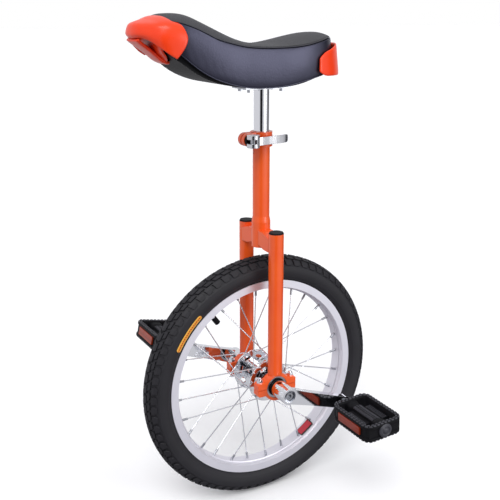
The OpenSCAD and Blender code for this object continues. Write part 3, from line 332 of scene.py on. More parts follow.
# %% Orange moulded plastic
made, tree, place = begin("orange_polypropylene")
cloud = add(tree, "ShaderNodeTexNoise", {"Vector": place, "Scale": per(35), "Detail": 3.0})
tint = add(tree, "ShaderNodeMix", {FACTOR: cloud.outputs["Fac"], COLOUR_A: srgb("#F93A0E"),
                                   COLOUR_B: srgb("#FF4A1C")}, data_type="RGBA")
flow = add(tree, "ShaderNodeTexNoise", {"Vector": place, "Scale": per(6), "Detail": 2.0})
bump = add(tree, "ShaderNodeBump", {"Height": flow.outputs["Fac"], "Distance": 0.12 * MM,
                                    "Strength": 0.4})
moulding = shade(made, {"Base Color": tint.outputs[COLOUR_OUT], "Roughness": 0.34,
                        "Specular IOR Level": 0.3, "Coat Weight": 0.15, "Coat Roughness": 0.15,
                        "Normal": bump.outputs[0]})

# %% Amber reflector
made, tree, place = begin("amber_acrylic")
prisms = add(tree, "ShaderNodeTexVoronoi", {"Vector": place, "Scale": per(2.2), "Randomness": 0.15})
tint = add(tree, "ShaderNodeMix", {FACTOR: prisms.outputs["Distance"], COLOUR_A: srgb("#B83C10"),
                                   COLOUR_B: srgb("#4A1206")}, data_type="RGBA")
bump = add(tree, "ShaderNodeBump", {"Height": prisms.outputs["Distance"], "Distance": 0.5 * MM,
                                    "Strength": 0.8})
amber = shade(made, {"Base Color": tint.outputs[COLOUR_OUT], "Roughness": 0.3,
                     "Specular IOR Level": 0.3, "Coat Weight": 0.25, "Coat Roughness": 0.04,
                     "Normal": bump.outputs[0]})

# %% [markdown]
# ### Seat vinyl
# The seat is covered in black vinyl on a knitted back. The side panel is a smooth sheet with a soft
# bluish shine, and the top panel is embossed with a leather pebble about a millimetre across, so that
# a rider doesn't slide. Under it is moulded foam, and the seams are sewn with a waxed black thread.

# %% Vinyls, foam and thread
made, tree, place = begin("smooth_vinyl")
hand = add(tree, "ShaderNodeTexNoise", {"Vector": place, "Scale": per(24), "Detail": 4.0})
tint = add(tree, "ShaderNodeMix", {FACTOR: hand.outputs["Fac"], COLOUR_A: srgb("#15151C"),
                                   COLOUR_B: srgb("#24242F")}, data_type="RGBA")
skin = add(tree, "ShaderNodeTexNoise", {"Vector": place, "Scale": per(2.2), "Detail": 4.0})
bump = add(tree, "ShaderNodeBump", {"Height": skin.outputs["Fac"], "Distance": 0.22 * MM,
                                    "Strength": 0.7})
smooth_vinyl = shade(made, {"Base Color": tint.outputs[COLOUR_OUT], "Roughness": 0.36,
                            "Specular IOR Level": 0.9, "Specular Tint": srgb("#D8D9FF"),
                            "Normal": bump.outputs[0]})

made, tree, place = begin("embossed_vinyl")
pebble = add(tree, "ShaderNodeTexVoronoi", {"Vector": place, "Scale": per(1.3)},
             feature="DISTANCE_TO_EDGE")
valley = add(tree, "ShaderNodeMapRange", {"Value": pebble.outputs["Distance"], "From Max": 0.25})
hand = add(tree, "ShaderNodeTexNoise", {"Vector": place, "Scale": per(30), "Detail": 4.0})
tint = add(tree, "ShaderNodeMix", {FACTOR: hand.outputs["Fac"], COLOUR_A: srgb("#25252A"),
                                   COLOUR_B: srgb("#35353B")}, data_type="RGBA")
bump = add(tree, "ShaderNodeBump", {"Height": valley.outputs[0], "Distance": 0.18 * MM,
                                    "Strength": 0.6})
embossed_vinyl = shade(made, {"Base Color": tint.outputs[COLOUR_OUT], "Roughness": 0.55,
                              "Normal": bump.outputs[0]})

made, tree, place = begin("waxed_thread")
strand = add(tree, "ShaderNodeTexWave", {"Vector": place, "Scale": per(3.0)})
tint = add(tree, "ShaderNodeMix", {FACTOR: strand.outputs["Fac"], COLOUR_A: srgb("#0E0E10"),
                                   COLOUR_B: srgb("#26262A")}, data_type="RGBA")
thread = shade(made, {"Base Color": tint.outputs[COLOUR_OUT], "Roughness": 0.6})

made, tree, place = begin("moulded_foam")
cells = add(tree, "ShaderNodeTexVoronoi", {"Vector": place, "Scale": per(1.2)})
tint = add(tree, "ShaderNodeMix", {FACTOR: cells.outputs["Distance"], COLOUR_A: srgb("#D8D2B0"),
                                   COLOUR_B: srgb("#B8B08C")}, data_type="RGBA")
foam = shade(made, {"Base Color": tint.outputs[COLOUR_OUT], "Roughness": 0.9})

# %% Give every CAD part its finish
FINISHES = {"tyre_rubber": rubber, "tube_rubber": rubber, "rim_alloy": anodised,
            "chrome_plate": chrome, "zinc_steel": zinc, "frame_paint": enamel,
            "black_plastic": nylon, "reflector_plastic": amber, "bumper_plastic": moulding,
            "seat_foam": foam, "seat_vinyl": smooth_vinyl, "lever_steel": polished}
slot_of = {part["node"]: part["material_slot"] for part in record["subparts"]}
for name, node in frame["nodes"].items():
    node.data.materials.clear()
    node.data.materials.append(FINISHES[slot_of[name]])
print(len(frame["nodes"]), "CAD parts have", len(FINISHES), "finishes")

# %% [markdown]
# ## Tools for making pieces
# Most pieces are grids of points: rings or rows that follow a rule, with a face between every four.
# What repeats is done with Geometry Nodes: one tree turns copies of a shape round an axle, and one
# sets copies along a path. Each is baked to a plain mesh at once, so that nothing is left live.


# %% Meshes from points
def smooth_table(table, steps=6):
    """A table of points made smooth: a Catmull-Rom curve through them, as many steps for each gap."""
    out = []
    for i in range(len(table) - 1):
        p0, p1 = table[max(i - 1, 0)], table[i]
        p2, p3 = table[i + 1], table[min(i + 2, len(table) - 1)]
        for k in range(steps):
            t = k / steps
            out.append([0.5 * (2 * b + (c - a) * t + (2 * a - 5 * b + 4 * c - d) * t * t
                               + (3 * b - a - 3 * c + d) * t ** 3)
                        for a, b, c, d in zip(p0, p1, p2, p3)])
    return out + [list(table[-1])]


def look_up(table, x):
    """Reads a table of (x, value) that rises in x, in straight steps."""
    if x <= table[0][0]:
        return table[0][1]
    for (x0, v0), (x1, v1) in zip(table, table[1:]):
        if x <= x1:
            return v0 + (v1 - v0) * (x - x0) / (x1 - x0)
    return table[-1][1]


def grid_faces(rows, columns, round_rows=False, round_columns=False, first=0):
    """Faces between the points of a grid that are listed row by row."""
    faces = []
    for i in range(rows if round_rows else rows - 1):
        for j in range(columns if round_columns else columns - 1):
            i2, j2 = (i + 1) % rows, (j + 1) % columns
            faces.append([first + i * columns + j, first + i * columns + j2,
                          first + i2 * columns + j2, first + i2 * columns + j])
    return faces


def piece_from(name, points, faces, finish, merge=0.0, outward=True):
    """A smooth object with these points, in metres, with its doubles merged and faces outward."""
    mesh = bpy.data.meshes.new(name)
    mesh.from_pydata(points, [], faces)
    work = bmesh.new()
    work.from_mesh(mesh)
    if merge:
        bmesh.ops.remove_doubles(work, verts=work.verts, dist=merge)
    if outward:
        bmesh.ops.recalc_face_normals(work, faces=work.faces)
    work.to_mesh(mesh)
    work.free()
    for face in mesh.polygons:
        face.use_smooth = True
    mesh.materials.append(finish)
    piece = bpy.data.objects.new(name, mesh)
    bpy.context.scene.collection.objects.link(piece)
    return piece


def bake(piece, name, finish):
    """The evaluated piece as a new object with a plain mesh; the old one is removed."""
    graph = bpy.context.evaluated_depsgraph_get()
    mesh = bpy.data.meshes.new_from_object(piece.evaluated_get(graph))
    bpy.data.objects.remove(piece)
    mesh.materials.clear()
    mesh.materials.append(finish)
    mesh.name = name
    baked = bpy.data.objects.new(name, mesh)
    bpy.context.scene.collection.objects.link(baked)
    return baked


def join(name, *parts):
    """Several objects as one, with each one's materials kept."""
    with bpy.context.temp_override(active_object=parts[0], selected_editable_objects=list(parts)):
        bpy.ops.object.join()
    parts[0].name = name
    return parts[0]


def finish_piece(piece, body, slot, *nodes):
    """Makes a piece ride on its body and stand for CAD nodes; the slot is not used."""
    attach(piece, body)
    if nodes:
        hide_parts(*nodes)
    print(piece.name, "has", len(piece.data.polygons), "faces and rides on", body)


# %% A node tree that turns copies round an axle
def new_tree(name, sockets):
    """An empty geometry tree with a geometry in and out and these inputs."""
    tree = bpy.data.node_groups.new(name, "GeometryNodeTree")
    tree.interface.new_socket("Geometry", in_out="INPUT", socket_type="NodeSocketGeometry")
    tree.interface.new_socket("Geometry", in_out="OUTPUT", socket_type="NodeSocketGeometry")
    for label, kind in sockets:
        tree.interface.new_socket(label, in_out="INPUT", socket_type=kind)
    return tree, add(tree, "NodeGroupInput").outputs


round_tree, given = new_tree("copies round an axle", [("Axle", "NodeSocketVector"),
                                                      ("Count", "NodeSocketInt"),
                                                      ("Finish", "NodeSocketMaterial")])
spots = add(round_tree, "GeometryNodePoints", {"Count": given["Count"], "Position": given["Axle"]})
index = add(round_tree, "GeometryNodeInputIndex")
step = add(round_tree, "ShaderNodeMath", {0: math.tau, 1: given["Count"]}, operation="DIVIDE")
angle = add(round_tree, "ShaderNodeMath", {0: index.outputs[0], 1: step.outputs[0]},
            operation="MULTIPLY")
turn = add(round_tree, "ShaderNodeCombineXYZ", {"Y": angle.outputs[0]})
copies = add(round_tree, "GeometryNodeInstanceOnPoints",
             {"Points": spots.outputs[0], "Instance": given["Geometry"],
              "Rotation": turn.outputs[0]})
real = add(round_tree, "GeometryNodeRealizeInstances", {"Geometry": copies.outputs[0]})
dressed = add(round_tree, "GeometryNodeSetMaterial", {"Geometry": real.outputs[0],
                                                      "Material": given["Finish"]})
add(round_tree, "NodeGroupOutput", {"Geometry": dressed.outputs[0]})

# %% A node tree that sets copies along a path
path_tree, given = new_tree("copies along a path", [("Shape", "NodeSocketObject"),
                                                    ("Spacing", "NodeSocketFloat"),
                                                    ("Finish", "NodeSocketMaterial")])
line = add(path_tree, "GeometryNodeMeshToCurve", {"Mesh": given["Geometry"]})
even = add(path_tree, "GeometryNodeResampleCurve", {"Curve": line.outputs[0],
                                                    "Length": given["Spacing"]}, mode="LENGTH")
along = add(path_tree, "GeometryNodeInputTangent")
facing = add(path_tree, "FunctionNodeAlignRotationToVector", {"Vector": along.outputs[0]}, axis="X")
shape = add(path_tree, "GeometryNodeObjectInfo", {"Object": given["Shape"]})
copies = add(path_tree, "GeometryNodeInstanceOnPoints",
             {"Points": even.outputs[0], "Instance": shape.outputs["Geometry"],
              "Rotation": facing.outputs[0]})
real = add(path_tree, "GeometryNodeRealizeInstances", {"Geometry": copies.outputs[0]})
dressed = add(path_tree, "GeometryNodeSetMaterial", {"Geometry": real.outputs[0],
                                                     "Material": given["Finish"]})
add(path_tree, "NodeGroupOutput", {"Geometry": dressed.outputs[0]})


def grow(piece, tree, name, finish, **inputs):
    """Runs a geometry tree on a piece and bakes what it makes."""
    run = piece.modifiers.new(tree.name, "NODES")
    run.node_group = tree
    for item in tree.interface.items_tree:
        if item.in_out == "INPUT" and item.name in inputs:
            run[item.identifier] = inputs[item.name]
    return bake(piece, name, finish)


def copies_along(name, paths, closed, shape, spacing, finish):
    """Copies of a small shape at even steps along each path, a list of points in metres."""
    points, edges = [], []
    for path in paths:
        first, links = len(points), len(path) - (0 if closed else 1)
        points += path
        edges += [(first + i, first + (i + 1) % len(path)) for i in range(links)]
    mesh = bpy.data.meshes.new(name)
    mesh.from_pydata(points, edges, [])
    guide = bpy.data.objects.new(name, mesh)
    bpy.context.scene.collection.objects.link(guide)
    return grow(guide, path_tree, name, finish, Shape=shape, Spacing=spacing, Finish=finish)


def lozenge(name, size, finish, top=0.7):
    """A small block with sloping sides and a smaller top, centred at the origin, sizes in mm."""
    x, y, z = (side * MM / 2 for side in size)
    points = [(sx * x * k, sy * y * k, h) for h, k in ((-z, 1), (z * 0.5, 1), (z, top))
              for sx, sy in ((-1, -1), (1, -1), (1, 1), (-1, 1))]
    faces = grid_faces(3, 4, round_columns=True) + [[3, 2, 1, 0], [8, 9, 10, 11]]
    return piece_from(name, points, faces, finish)


# %% [markdown]
# ## Tyre
# The casing is a round section turned about the axle. The tread is moulded on it in blocks, with
# grooves 3 mm deep between them: a chevron down the middle, slanted blocks beside it, and long
# shoulder blocks. One pitch of the pattern is made of five blocks on the round of the casing, and
# the tree turns 76 copies of it round the wheel, which is how the mould's segments repeat too.

# %% Casing
SECTION_R = 24                        # all in mm: the casing's round section
MID_R = axle.z / MM - SECTION_R       # from the axle to the middle of that section
TREAD_DEEP = 3.0


def on_tyre(along, around, lift=0.0):
    """A point in metres: mm along the section from the crown, angle round the axle, height above."""
    lean = along / SECTION_R
    reach_mm = MID_R + (SECTION_R + lift) * math.cos(lean)
    return axle + Vector((reach_mm * math.cos(around), (SECTION_R + lift) * math.sin(lean),
                          reach_mm * math.sin(around))) * MM


def casing_lift(along):
    """How far the casing lies under the tread's face, and the thin rings moulded on its sides."""
    far = abs(along)
    under = -TREAD_DEEP * (1 - min(max((far - 24) / 6, 0), 1))
    rings = sum(0.45 * max(0, 1 - abs(far - ring) / 0.8) for ring in (31.5, 47.5))
    return under + rings


outer = [(s, casing_lift(s)) for s in [k * 0.8 - 56.8 for k in range(143)]]
WALL = 3.4
inner = [(s, -WALL) for s in range(58, -59, -4)]
SECTORS = 200
points = [on_tyre(s, math.tau * k / SECTORS, lift) for k in range(SECTORS)
          for s, lift in outer + inner]
faces = grid_faces(SECTORS, len(outer) + len(inner), round_rows=True, round_columns=True)
casing = piece_from("tyre_casing", points, faces, rubber)
print("casing", len(casing.data.polygons), "faces")

# %% Tread
PITCHES = 76
pitch = math.tau * (MID_R + SECTION_R) / PITCHES


def tread_block(low, high):
    """Points and faces of a block between two lines of (mm across, mm round)."""
    chain = low + high[::-1]
    middle = [sum(p[k] for p in chain) / len(chain) for k in (0, 1)]
    points = []
    for inset, lift in ((-0.5, -TREAD_DEEP - 0.4), (0.0, -0.6), (0.55, 0.0)):
        for p in chain:
            away = math.hypot(p[0] - middle[0], p[1] - middle[1])
            s, t = (p[k] + (middle[k] - p[k]) * inset / away for k in (0, 1))
            points.append(on_tyre(s, t / (MID_R + SECTION_R), lift) - axle)
    n, last = len(chain), 2 * len(chain)
    faces = grid_faces(3, n, round_columns=True)
    for top in range(len(low) - 1):
        faces.append([last + top, last + top + 1, last + n - 2 - top, last + n - 1 - top])
    return points, faces


blocks = [([(-5.6, 3.4), (0, 0.4), (5.6, 3.4)], [(-5.6, 17.4), (0, 14.4), (5.6, 17.4)])]
for s in (-1, 1):
    blocks.append(([(s * 8.0, 8.0), (s * 13.6, 11.0)], [(s * 8.0, 21.6), (s * 13.6, 24.6)]))
    blocks.append(([(s * 16.0, 2.0), (s * 21, 3.6), (s * 27.5, 4.6)],
                   [(s * 16.0, 15.6), (s * 21, 17.4), (s * 27.5, 14.4)]))
points, faces = [], []
for low, high in blocks:
    made_points, made_faces = tread_block(low, high)
    faces += [[v + len(points) for v in face] for face in made_faces]
    points += made_points
one_pitch = piece_from("tread_pitch", points, faces, rubber)
for face in one_pitch.data.polygons:
    face.use_smooth = False
tread = grow(one_pitch, round_tree, "tread", rubber, Axle=tuple(axle), Count=PITCHES, Finish=rubber)
tyre = join("tyre_with_tread", casing, tread)
finish_piece(tyre, "wheel", "tyre_rubber", "tyre")
print("tread pitch", round(pitch, 1), "mm")

# %% [markdown]
# ## Labels
# A coloured band is hot-pressed on the tyre's wall, and a small sticker lies on the rim's inner face.
# Both are plain here: a border and a row of plain marks, with no words. Each is a thin strip that
# follows the surface under it, with its own map across it for the pattern.


# %% Strips that lie on a surface
def label(name, spot, columns, rows, finish):
    """A strip of points from spot(u, v), both 0 to 1, with rounded ends and a UV map of u and v."""
    points, uvs = [], []
    for i in range(columns + 1):
        u = i / columns
        for j in range(rows + 1):
            v = j / rows
            points.append(spot(u, v))
            uvs.append((u, v))
    strip = piece_from(name, points, grid_faces(columns + 1, rows + 1), finish, outward=False)
    layer = strip.data.uv_layers.new(name="across")
    for loop in strip.data.loops:
        layer.data[loop.index].uv = uvs[loop.vertex_index]
    return strip


def rounded(u, v, ends):
    """Narrows v towards the middle near u of 0 and 1, so that a strip ends in half circles."""
    near = min(u, 1 - u) / ends
    return 0.5 + (v - 0.5) * (math.sqrt(max(0, 1 - (1 - near) ** 2)) if near < 1 else 1)


# %% Label inks
made, tree, _ = begin("hot_pressed_band")
spread = add(tree, "ShaderNodeSeparateXYZ",
             {"Vector": add(tree, "ShaderNodeUVMap", uv_map="across").outputs[0]})
dash = add(tree, "ShaderNodeMath", {0: spread.outputs["X"], 1: 116.0}, operation="MULTIPLY")
dash = add(tree, "ShaderNodeMath", {0: dash.outputs[0]}, operation="SINE")
off = add(tree, "ShaderNodeMath", {0: spread.outputs["Y"], 1: 0.5}, operation="SUBTRACT")
off = add(tree, "ShaderNodeMath", {0: off.outputs[0]}, operation="ABSOLUTE")
middle = add(tree, "ShaderNodeMapRange", {"Value": off.outputs[0], "From Min": 0.30,
                                          "From Max": 0.22})
core = add(tree, "ShaderNodeMapRange", {"Value": off.outputs[0], "From Min": 0.16,
                                        "From Max": 0.10})
marks = add(tree, "ShaderNodeMapRange", {"Value": dash.outputs[0], "From Min": 0.2,
                                         "From Max": 0.4})
inked = add(tree, "ShaderNodeMath", {0: core.outputs[0], 1: marks.outputs[0]},
            operation="MULTIPLY")
body = add(tree, "ShaderNodeMix", {FACTOR: middle.outputs[0], COLOUR_A: srgb("#FFC24E"),
                                   COLOUR_B: srgb("#F5901F")}, data_type="RGBA")
tint = add(tree, "ShaderNodeMix", {FACTOR: inked.outputs[0], COLOUR_A: body.outputs[COLOUR_OUT],
                                   COLOUR_B: srgb("#8A3E0C")}, data_type="RGBA")
band_ink = shade(made, {"Base Color": tint.outputs[COLOUR_OUT], "Roughness": 0.4})

made, tree, _ = begin("printed_sticker")
spread = add(tree, "ShaderNodeSeparateXYZ",
             {"Vector": add(tree, "ShaderNodeUVMap", uv_map="across").outputs[0]})
edge_u = add(tree, "ShaderNodeMath", {0: spread.outputs["X"], 1: 0.5}, operation="SUBTRACT")
edge_u = add(tree, "ShaderNodeMath", {0: edge_u.outputs[0]}, operation="ABSOLUTE")
edge_v = add(tree, "ShaderNodeMath", {0: spread.outputs["Y"], 1: 0.5}, operation="SUBTRACT")
edge_v = add(tree, "ShaderNodeMath", {0: edge_v.outputs[0]}, operation="ABSOLUTE")
edge_v = add(tree, "ShaderNodeMath", {0: edge_v.outputs[0], 1: 0.62}, operation="MULTIPLY")
far = add(tree, "ShaderNodeMath", {0: edge_u.outputs[0], 1: edge_v.outputs[0]},
          operation="MAXIMUM")
frame_line = add(tree, "ShaderNodeMapRange", {"Value": edge_v.outputs[0], "From Min": 0.22,
                                              "From Max": 0.24})
ends = add(tree, "ShaderNodeMapRange", {"Value": edge_u.outputs[0], "From Min": 0.42,
                                        "From Max": 0.44})
border = add(tree, "ShaderNodeMath", {0: frame_line.outputs[0], 1: ends.outputs[0]},
             operation="MAXIMUM")
tint = add(tree, "ShaderNodeMix", {FACTOR: border.outputs[0], COLOUR_A: srgb("#C8263A"),
                                   COLOUR_B: srgb("#1A1416")}, data_type="RGBA")
sticker_ink = shade(made, {"Base Color": tint.outputs[COLOUR_OUT], "Roughness": 0.25})


# %% Tyre bands and rim sticker
def band_spot(side):
    """Where the band lies on one wall of the tyre: over 21 degrees, 9.6 mm wide."""
    def spot(u, v):
        turn_at = math.radians(27.7 + 21.2 * u)
        along = 45.8 + 9.6 * (rounded(u, v, 0.065) - 0.5)
        return on_tyre(side * along, turn_at, 0.55)
    return spot


for side, name in ((1, "left_tyre_band"), (-1, "right_tyre_band")):
    strip = label(name, band_spot(side), 60, 8, band_ink)
    finish_piece(strip, "wheel", "tyre_rubber")

rim_node = frame["nodes"]["rim"]
rim_tree = BVHTree.FromPolygons([v.co for v in rim_node.data.vertices],
                                [f.vertices for f in rim_node.data.polygons])


def sticker_spot(u, v):
    """A ray from the axle out to the rim's inner face, stopped 0.15 mm before it."""
    turn_at = math.radians(228 + 11.6 * u)
    out = Vector((math.cos(turn_at), 0, math.sin(turn_at)))
    start = axle + Vector((0, (rounded(u, v, 0.06) - 0.5) * 21 * MM, 0))
    hit = rim_tree.ray_cast(start + out * 0.150, out)[0]
    return hit - out * 0.15 * MM


sticker = label("rim_sticker", sticker_spot, 40, 12, sticker_ink)
finish_piece(sticker, "wheel", "rim_alloy")

# %% [markdown]
# ## Seat
# A unicycle seat is a curved pan with moulded foam on it, covered in vinyl: a side panel pulled down
# under the pan's edge, sewn to a domed top panel. The vinyl is stretched tight, so its form is the
# foam's and a cloth simulation would add nothing. Rings of points follow the seat's outline instead:
# up the bulging side, over a sunk seam, and across the dome to a line down the middle.

# %% Lines of the seat
seat_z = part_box("seat_post_plate")[1].z / MM     # all heights below are from the pan's lowest point
OUTLINE = smooth_table([[-116, 0], [-114, 22], [-106, 42], [-92, 58], [-74, 69], [-50, 74],
                        [-20, 74], [20, 71], [60, 68], [100, 66], [140, 63], [165, 59],
                        [182, 51], [194, 38], [200, 20], [202, 0]])
HEM = smooth_table([[-116, 29], [-90, 22], [-60, 16], [-33, 10], [-7, 5], [19, 3], [45, 3], [70, 6],
                    [94, 12], [118, 21], [139, 33], [157, 47], [170, 58], [202, 84]])
SEAM = smooth_table([[-130, 74], [-100, 75], [-70, 70], [-45, 65], [-20, 62], [10, 61], [30, 61],
                     [60, 63], [85, 68], [110, 75], [129, 84], [150, 93], [175, 100], [202, 98]])
RIDGE = smooth_table([[-116, 82], [-85, 82], [-57, 77], [-30, 71], [-3, 66], [23, 67], [49, 71],
                      [74, 80], [99, 92], [123, 103], [141, 110], [160, 112], [180, 110],
                      [202, 102]])


def even_loop(half, count):
    """Points at even steps round a closed outline, from its half with y above 0, and its normals."""
    whole = [Vector(p) for p in half] + [Vector((p[0], -p[1])) for p in half[-2:0:-1]]
    whole.append(whole[0])
    walked = [0.0]
    for a, b in zip(whole, whole[1:]):
        walked.append(walked[-1] + (b - a).length)
    loop, at = [], 0
    for k in range(count):
        want = walked[-1] * k / count
        while walked[at + 1] < want:
            at += 1
        share = (want - walked[at]) / (walked[at + 1] - walked[at])
        loop.append(whole[at].lerp(whole[at + 1], share))
    normals = []
    for k in range(count):
        along = loop[(k + 1) % count] - loop[k - 1]
        normals.append(Vector((-along.y, along.x)).normalized())
    return loop, normals


ROUND = 120
seat_loop, seat_normals = even_loop(OUTLINE, ROUND)
print("the seat is", round(max(p.y for p in seat_loop) * 2), "mm wide")

# %% Rings of the cover
SPINE = (-97, 170)                    # the line down the middle of the top, from and to


def ring(inset, height):
    """A ring round the seat, that far in from its outline, at height(x) above the pan."""
    points = []
    for p, n in zip(seat_loop, seat_normals):
        q = p - n * inset
        points.append(Vector((q.x, q.y, seat_z + height(q.x))))
    return points


def between(low, high, share):
    return lambda x: look_up(low, x) * (1 - share) + look_up(high, x) * share


rings = []
under = ring(12, lambda x: look_up(HEM, x) + 12)
for share in (1.0, 0.5, 0.0):
    rings.append([Vector((min(max(p.x, -90), 160) * share + p.x * (1 - share),
                          p.y * (1 - share), p.z + 4 * share)) for p in under])
rings.append(ring(9.0, lambda x: look_up(HEM, x) + 1.5))
rings.append(ring(7.5, lambda x: look_up(HEM, x) - 0.4))
rings.append(ring(5.5, lambda x: look_up(HEM, x) - 0.8))
rings.append(ring(3.9, lambda x: look_up(HEM, x) + 0.4))
SIDE_STEPS = 9
for k in range(1, SIDE_STEPS):
    share = k / SIDE_STEPS
    swell = 3.4 * (1 - share) ** 2 + 2.6 * share ** 3 - 0.9 * math.sin(math.pi * share)
    rings.append(ring(swell, between(HEM, SEAM, share)))
side_rings = len(rings)
for inset, lift in ((2.3, -1.7), (2.6, -1.1), (3.4, -0.9), (7.4, -2.6), (7.4, -2.2), (4.2, -0.1),
                    (3.7, 0.4), (4.3, 1.2)):
    rings.append(ring(inset, lambda x: look_up(SEAM, x) + lift))
TOP_STEPS = 10
edge = rings[-1]
for k in range(1, TOP_STEPS + 1):
    share = k / TOP_STEPS
    rise = 1 - (1 - share) ** 2.1
    points = []
    for p in edge:
        x = min(max(p.x, SPINE[0]), SPINE[1])
        crown = seat_z + look_up(RIDGE, x)
        points.append(Vector((p.x + (x - p.x) * share, p.y * (1 - share),
                              p.z + (crown - p.z) * rise)))
    rings.append(points)

# %% The cover, with a slight unevenness of the stretched vinyl
def unevenness(p):
    """A push in mm along the normal, and pulls that fan out above the hem in front."""
    soft = noise.noise(p * 0.018) * 0.9
    low = max(0, 1 - (p.z - seat_z - look_up(HEM, p.x)) / 30)
    pull = math.sin(p.x * 0.42 + p.z * 0.2) * low * 0.35 * (1 if p.x > 60 else 0.4)
    return soft + pull


LAST_HEM_RING = 6
points, most = [], 0.0
for number, row in enumerate(rings):
    for p, n in zip(row, seat_normals):
        push = unevenness(p) if LAST_HEM_RING < number < side_rings else 0.0
        most = max(most, abs(push))
        points.append((p + Vector((n.x, n.y, 0)) * push) * MM)
faces = grid_faces(len(rings), ROUND, round_columns=True)
cover = piece_from("seat_cover", points, faces, smooth_vinyl, merge=0.2 * MM)
cover.data.materials.append(embossed_vinyl)
for face in cover.data.polygons:
    c = face.center / MM
    is_top = c.z - seat_z > look_up(SEAM, c.x) - 0.6
    face.material_index = 1 if is_top and face.normal.z > 0.15 else 0
fine = cover.modifiers.new("fine", "SUBSURF")
fine.levels = fine.render_levels = 2
finish_piece(cover, "seat", "seat_vinyl", "saddle_cover", "saddle_foam")
print("the stretched vinyl is uneven by up to", round(most, 2), "mm")

# %% Stitches beside the seam, and the hem's welt
stitch = lozenge("stitch", (2.6, 0.7, 0.6), thread)
path = [p * MM for p in ring(7.0, lambda x: look_up(SEAM, x) + 2.0)]
seam_stitches = copies_along("seam_stitches", [path], True, stitch, 3.6 * MM, thread)
finish_piece(seam_stitches, "seat", "seat_vinyl")
WELT_R = 1.1
WELT_SIDES = 8
welt_points = []
for p, n in zip(ring(4.7, lambda x: look_up(HEM, x) - 0.7), seat_normals):
    for k in range(WELT_SIDES):
        a = math.tau * k / WELT_SIDES
        welt_points.append((p + Vector((n.x * math.cos(a), n.y * math.cos(a), math.sin(a)))
                            * WELT_R) * MM)
welt = piece_from("hem_welt", welt_points, grid_faces(ROUND, WELT_SIDES, True, True),
                  smooth_vinyl)
finish_piece(welt, "seat", "seat_vinyl")
bpy.data.objects.remove(stitch)

# %% [markdown]
# ## Front handle
# The orange moulding over the seat's nose is a thin hood that the rider grips by its front lip, with
# a keel under it that is screwed up to the pan. One half of the hood is a net of points, from its
# lower edge up to the middle of its top; a smooth surface goes through the net, the other half is
# its mirror, and Solidify gives it a wall. The keel and the back wall behind the fingers are straps.

# %% Hood
HOOD = [
    [(176, 62, 48), (165, 65, 62), (159, 65, 78), (165, 57, 96), (170, 30, 104), (168, 0, 106)],
    [(186, 60, 54), (181, 63, 68), (178, 63, 83), (180, 55, 98), (181, 28, 107), (181, 0, 109)],
    [(195, 55, 61), (195, 58, 73), (193, 57, 86), (192, 50, 98), (190, 26, 106), (190, 0, 108)],
    [(203, 48, 68), (204, 50, 77), (203, 48, 88), (201, 43, 97), (198, 22, 103), (198, 0, 106)],
    [(210, 37, 74), (213, 38, 81), (212, 36, 89), (209, 32, 97), (204, 16, 102), (203, 0, 104)],
    [(217, 21, 77), (221, 22, 82), (220, 21, 90), (217, 18, 97), (210, 9, 101), (209, 0, 102)],
    [(220, 6, 76), (224, 7, 81), (223, 7, 90), (220, 6, 97), (213, 3, 101), (212, 0, 101.5)]]


def net(rows, steps):
    """A smooth net through a coarse one, along its rows and then across them."""
    fine_rows = [smooth_table(row, steps) for row in rows]
    columns = [smooth_table([row[k] for row in fine_rows], steps)
               for k in range(len(fine_rows[0]))]
    return [list(row) for row in zip(*columns)]


half = net(HOOD, 4)
whole = half + [[(x, -y, z) for x, y, z in row] for row in half[::-1]]
points = [Vector((x, y, z + seat_z)) * MM for row in whole for x, y, z in row]
hood = piece_from("handle_hood", points, grid_faces(len(whole), len(whole[0])), moulding,
                  merge=0.3 * MM)
centre = Vector((190, 0, seat_z + 70)) * MM
if sum((f.center - centre).dot(f.normal) for f in hood.data.polygons) < 0:
    hood.data.flip_normals()
wall = hood.modifiers.new("wall", "SOLIDIFY")
wall.thickness = 4.5 * MM
wall.offset = -1
fine = hood.modifiers.new("fine", "SUBSURF")
fine.levels = fine.render_levels = 1
hood = bake(hood, "handle_hood", moulding)

# %% Keel and back wall
STRAP_SIDES = 20


def strap(name, line, finish):
    """A rounded bar through stations of (x, z, half width, half thickness), along the middle."""
    line = smooth_table(line, 5)
    points = []
    for k, (x, z, wide, thick) in enumerate(line):
        before, after = line[max(k - 1, 0)], line[min(k + 1, len(line) - 1)]
        along = Vector((after[0] - before[0], after[1] - before[1])).normalized()
        for j in range(STRAP_SIDES):
            a = math.tau * j / STRAP_SIDES
            c, s = math.cos(a), math.sin(a)
            across = math.copysign(abs(c) ** 0.5, c) * wide
            out = math.copysign(abs(s) ** 0.5, s) * thick
            points.append(Vector((x - along.y * out, across, z + seat_z + along.x * out)) * MM)
    last = (len(line) - 1) * STRAP_SIDES
    faces = grid_faces(len(line), STRAP_SIDES, round_columns=True)
    faces += [list(range(STRAP_SIDES)), [last + j for j in range(STRAP_SIDES)][::-1]]
    return piece_from(name, points, faces, finish)


keel = strap("handle_keel", [(166, 41, 12, 3), (173, 42, 16, 3.2), (181, 46, 18, 3.2),
                             (191, 54, 19, 3), (203, 63, 20, 3), (213, 70, 21, 3),
                             (219, 75, 22, 3)], moulding)
back = strap("handle_back", [(173, 44, 20, 2), (181, 51, 34, 2), (188, 58, 40, 2),
                             (193, 68, 46, 2), (194, 80, 50, 2), (194, 92, 48, 2),
                             (192, 104, 30, 2)], moulding)
handle = join("front_handle_moulding", hood, keel, back)
finish_piece(handle, "seat", "bumper_plastic", "front_handle")

# %% [markdown]
# ## Rear bumper
# A band of the same plastic wraps the seat's tail, to take the knock when the unicycle falls. It
# hugs the cover at its front corners and stands off at the back, further at the bottom than the top.

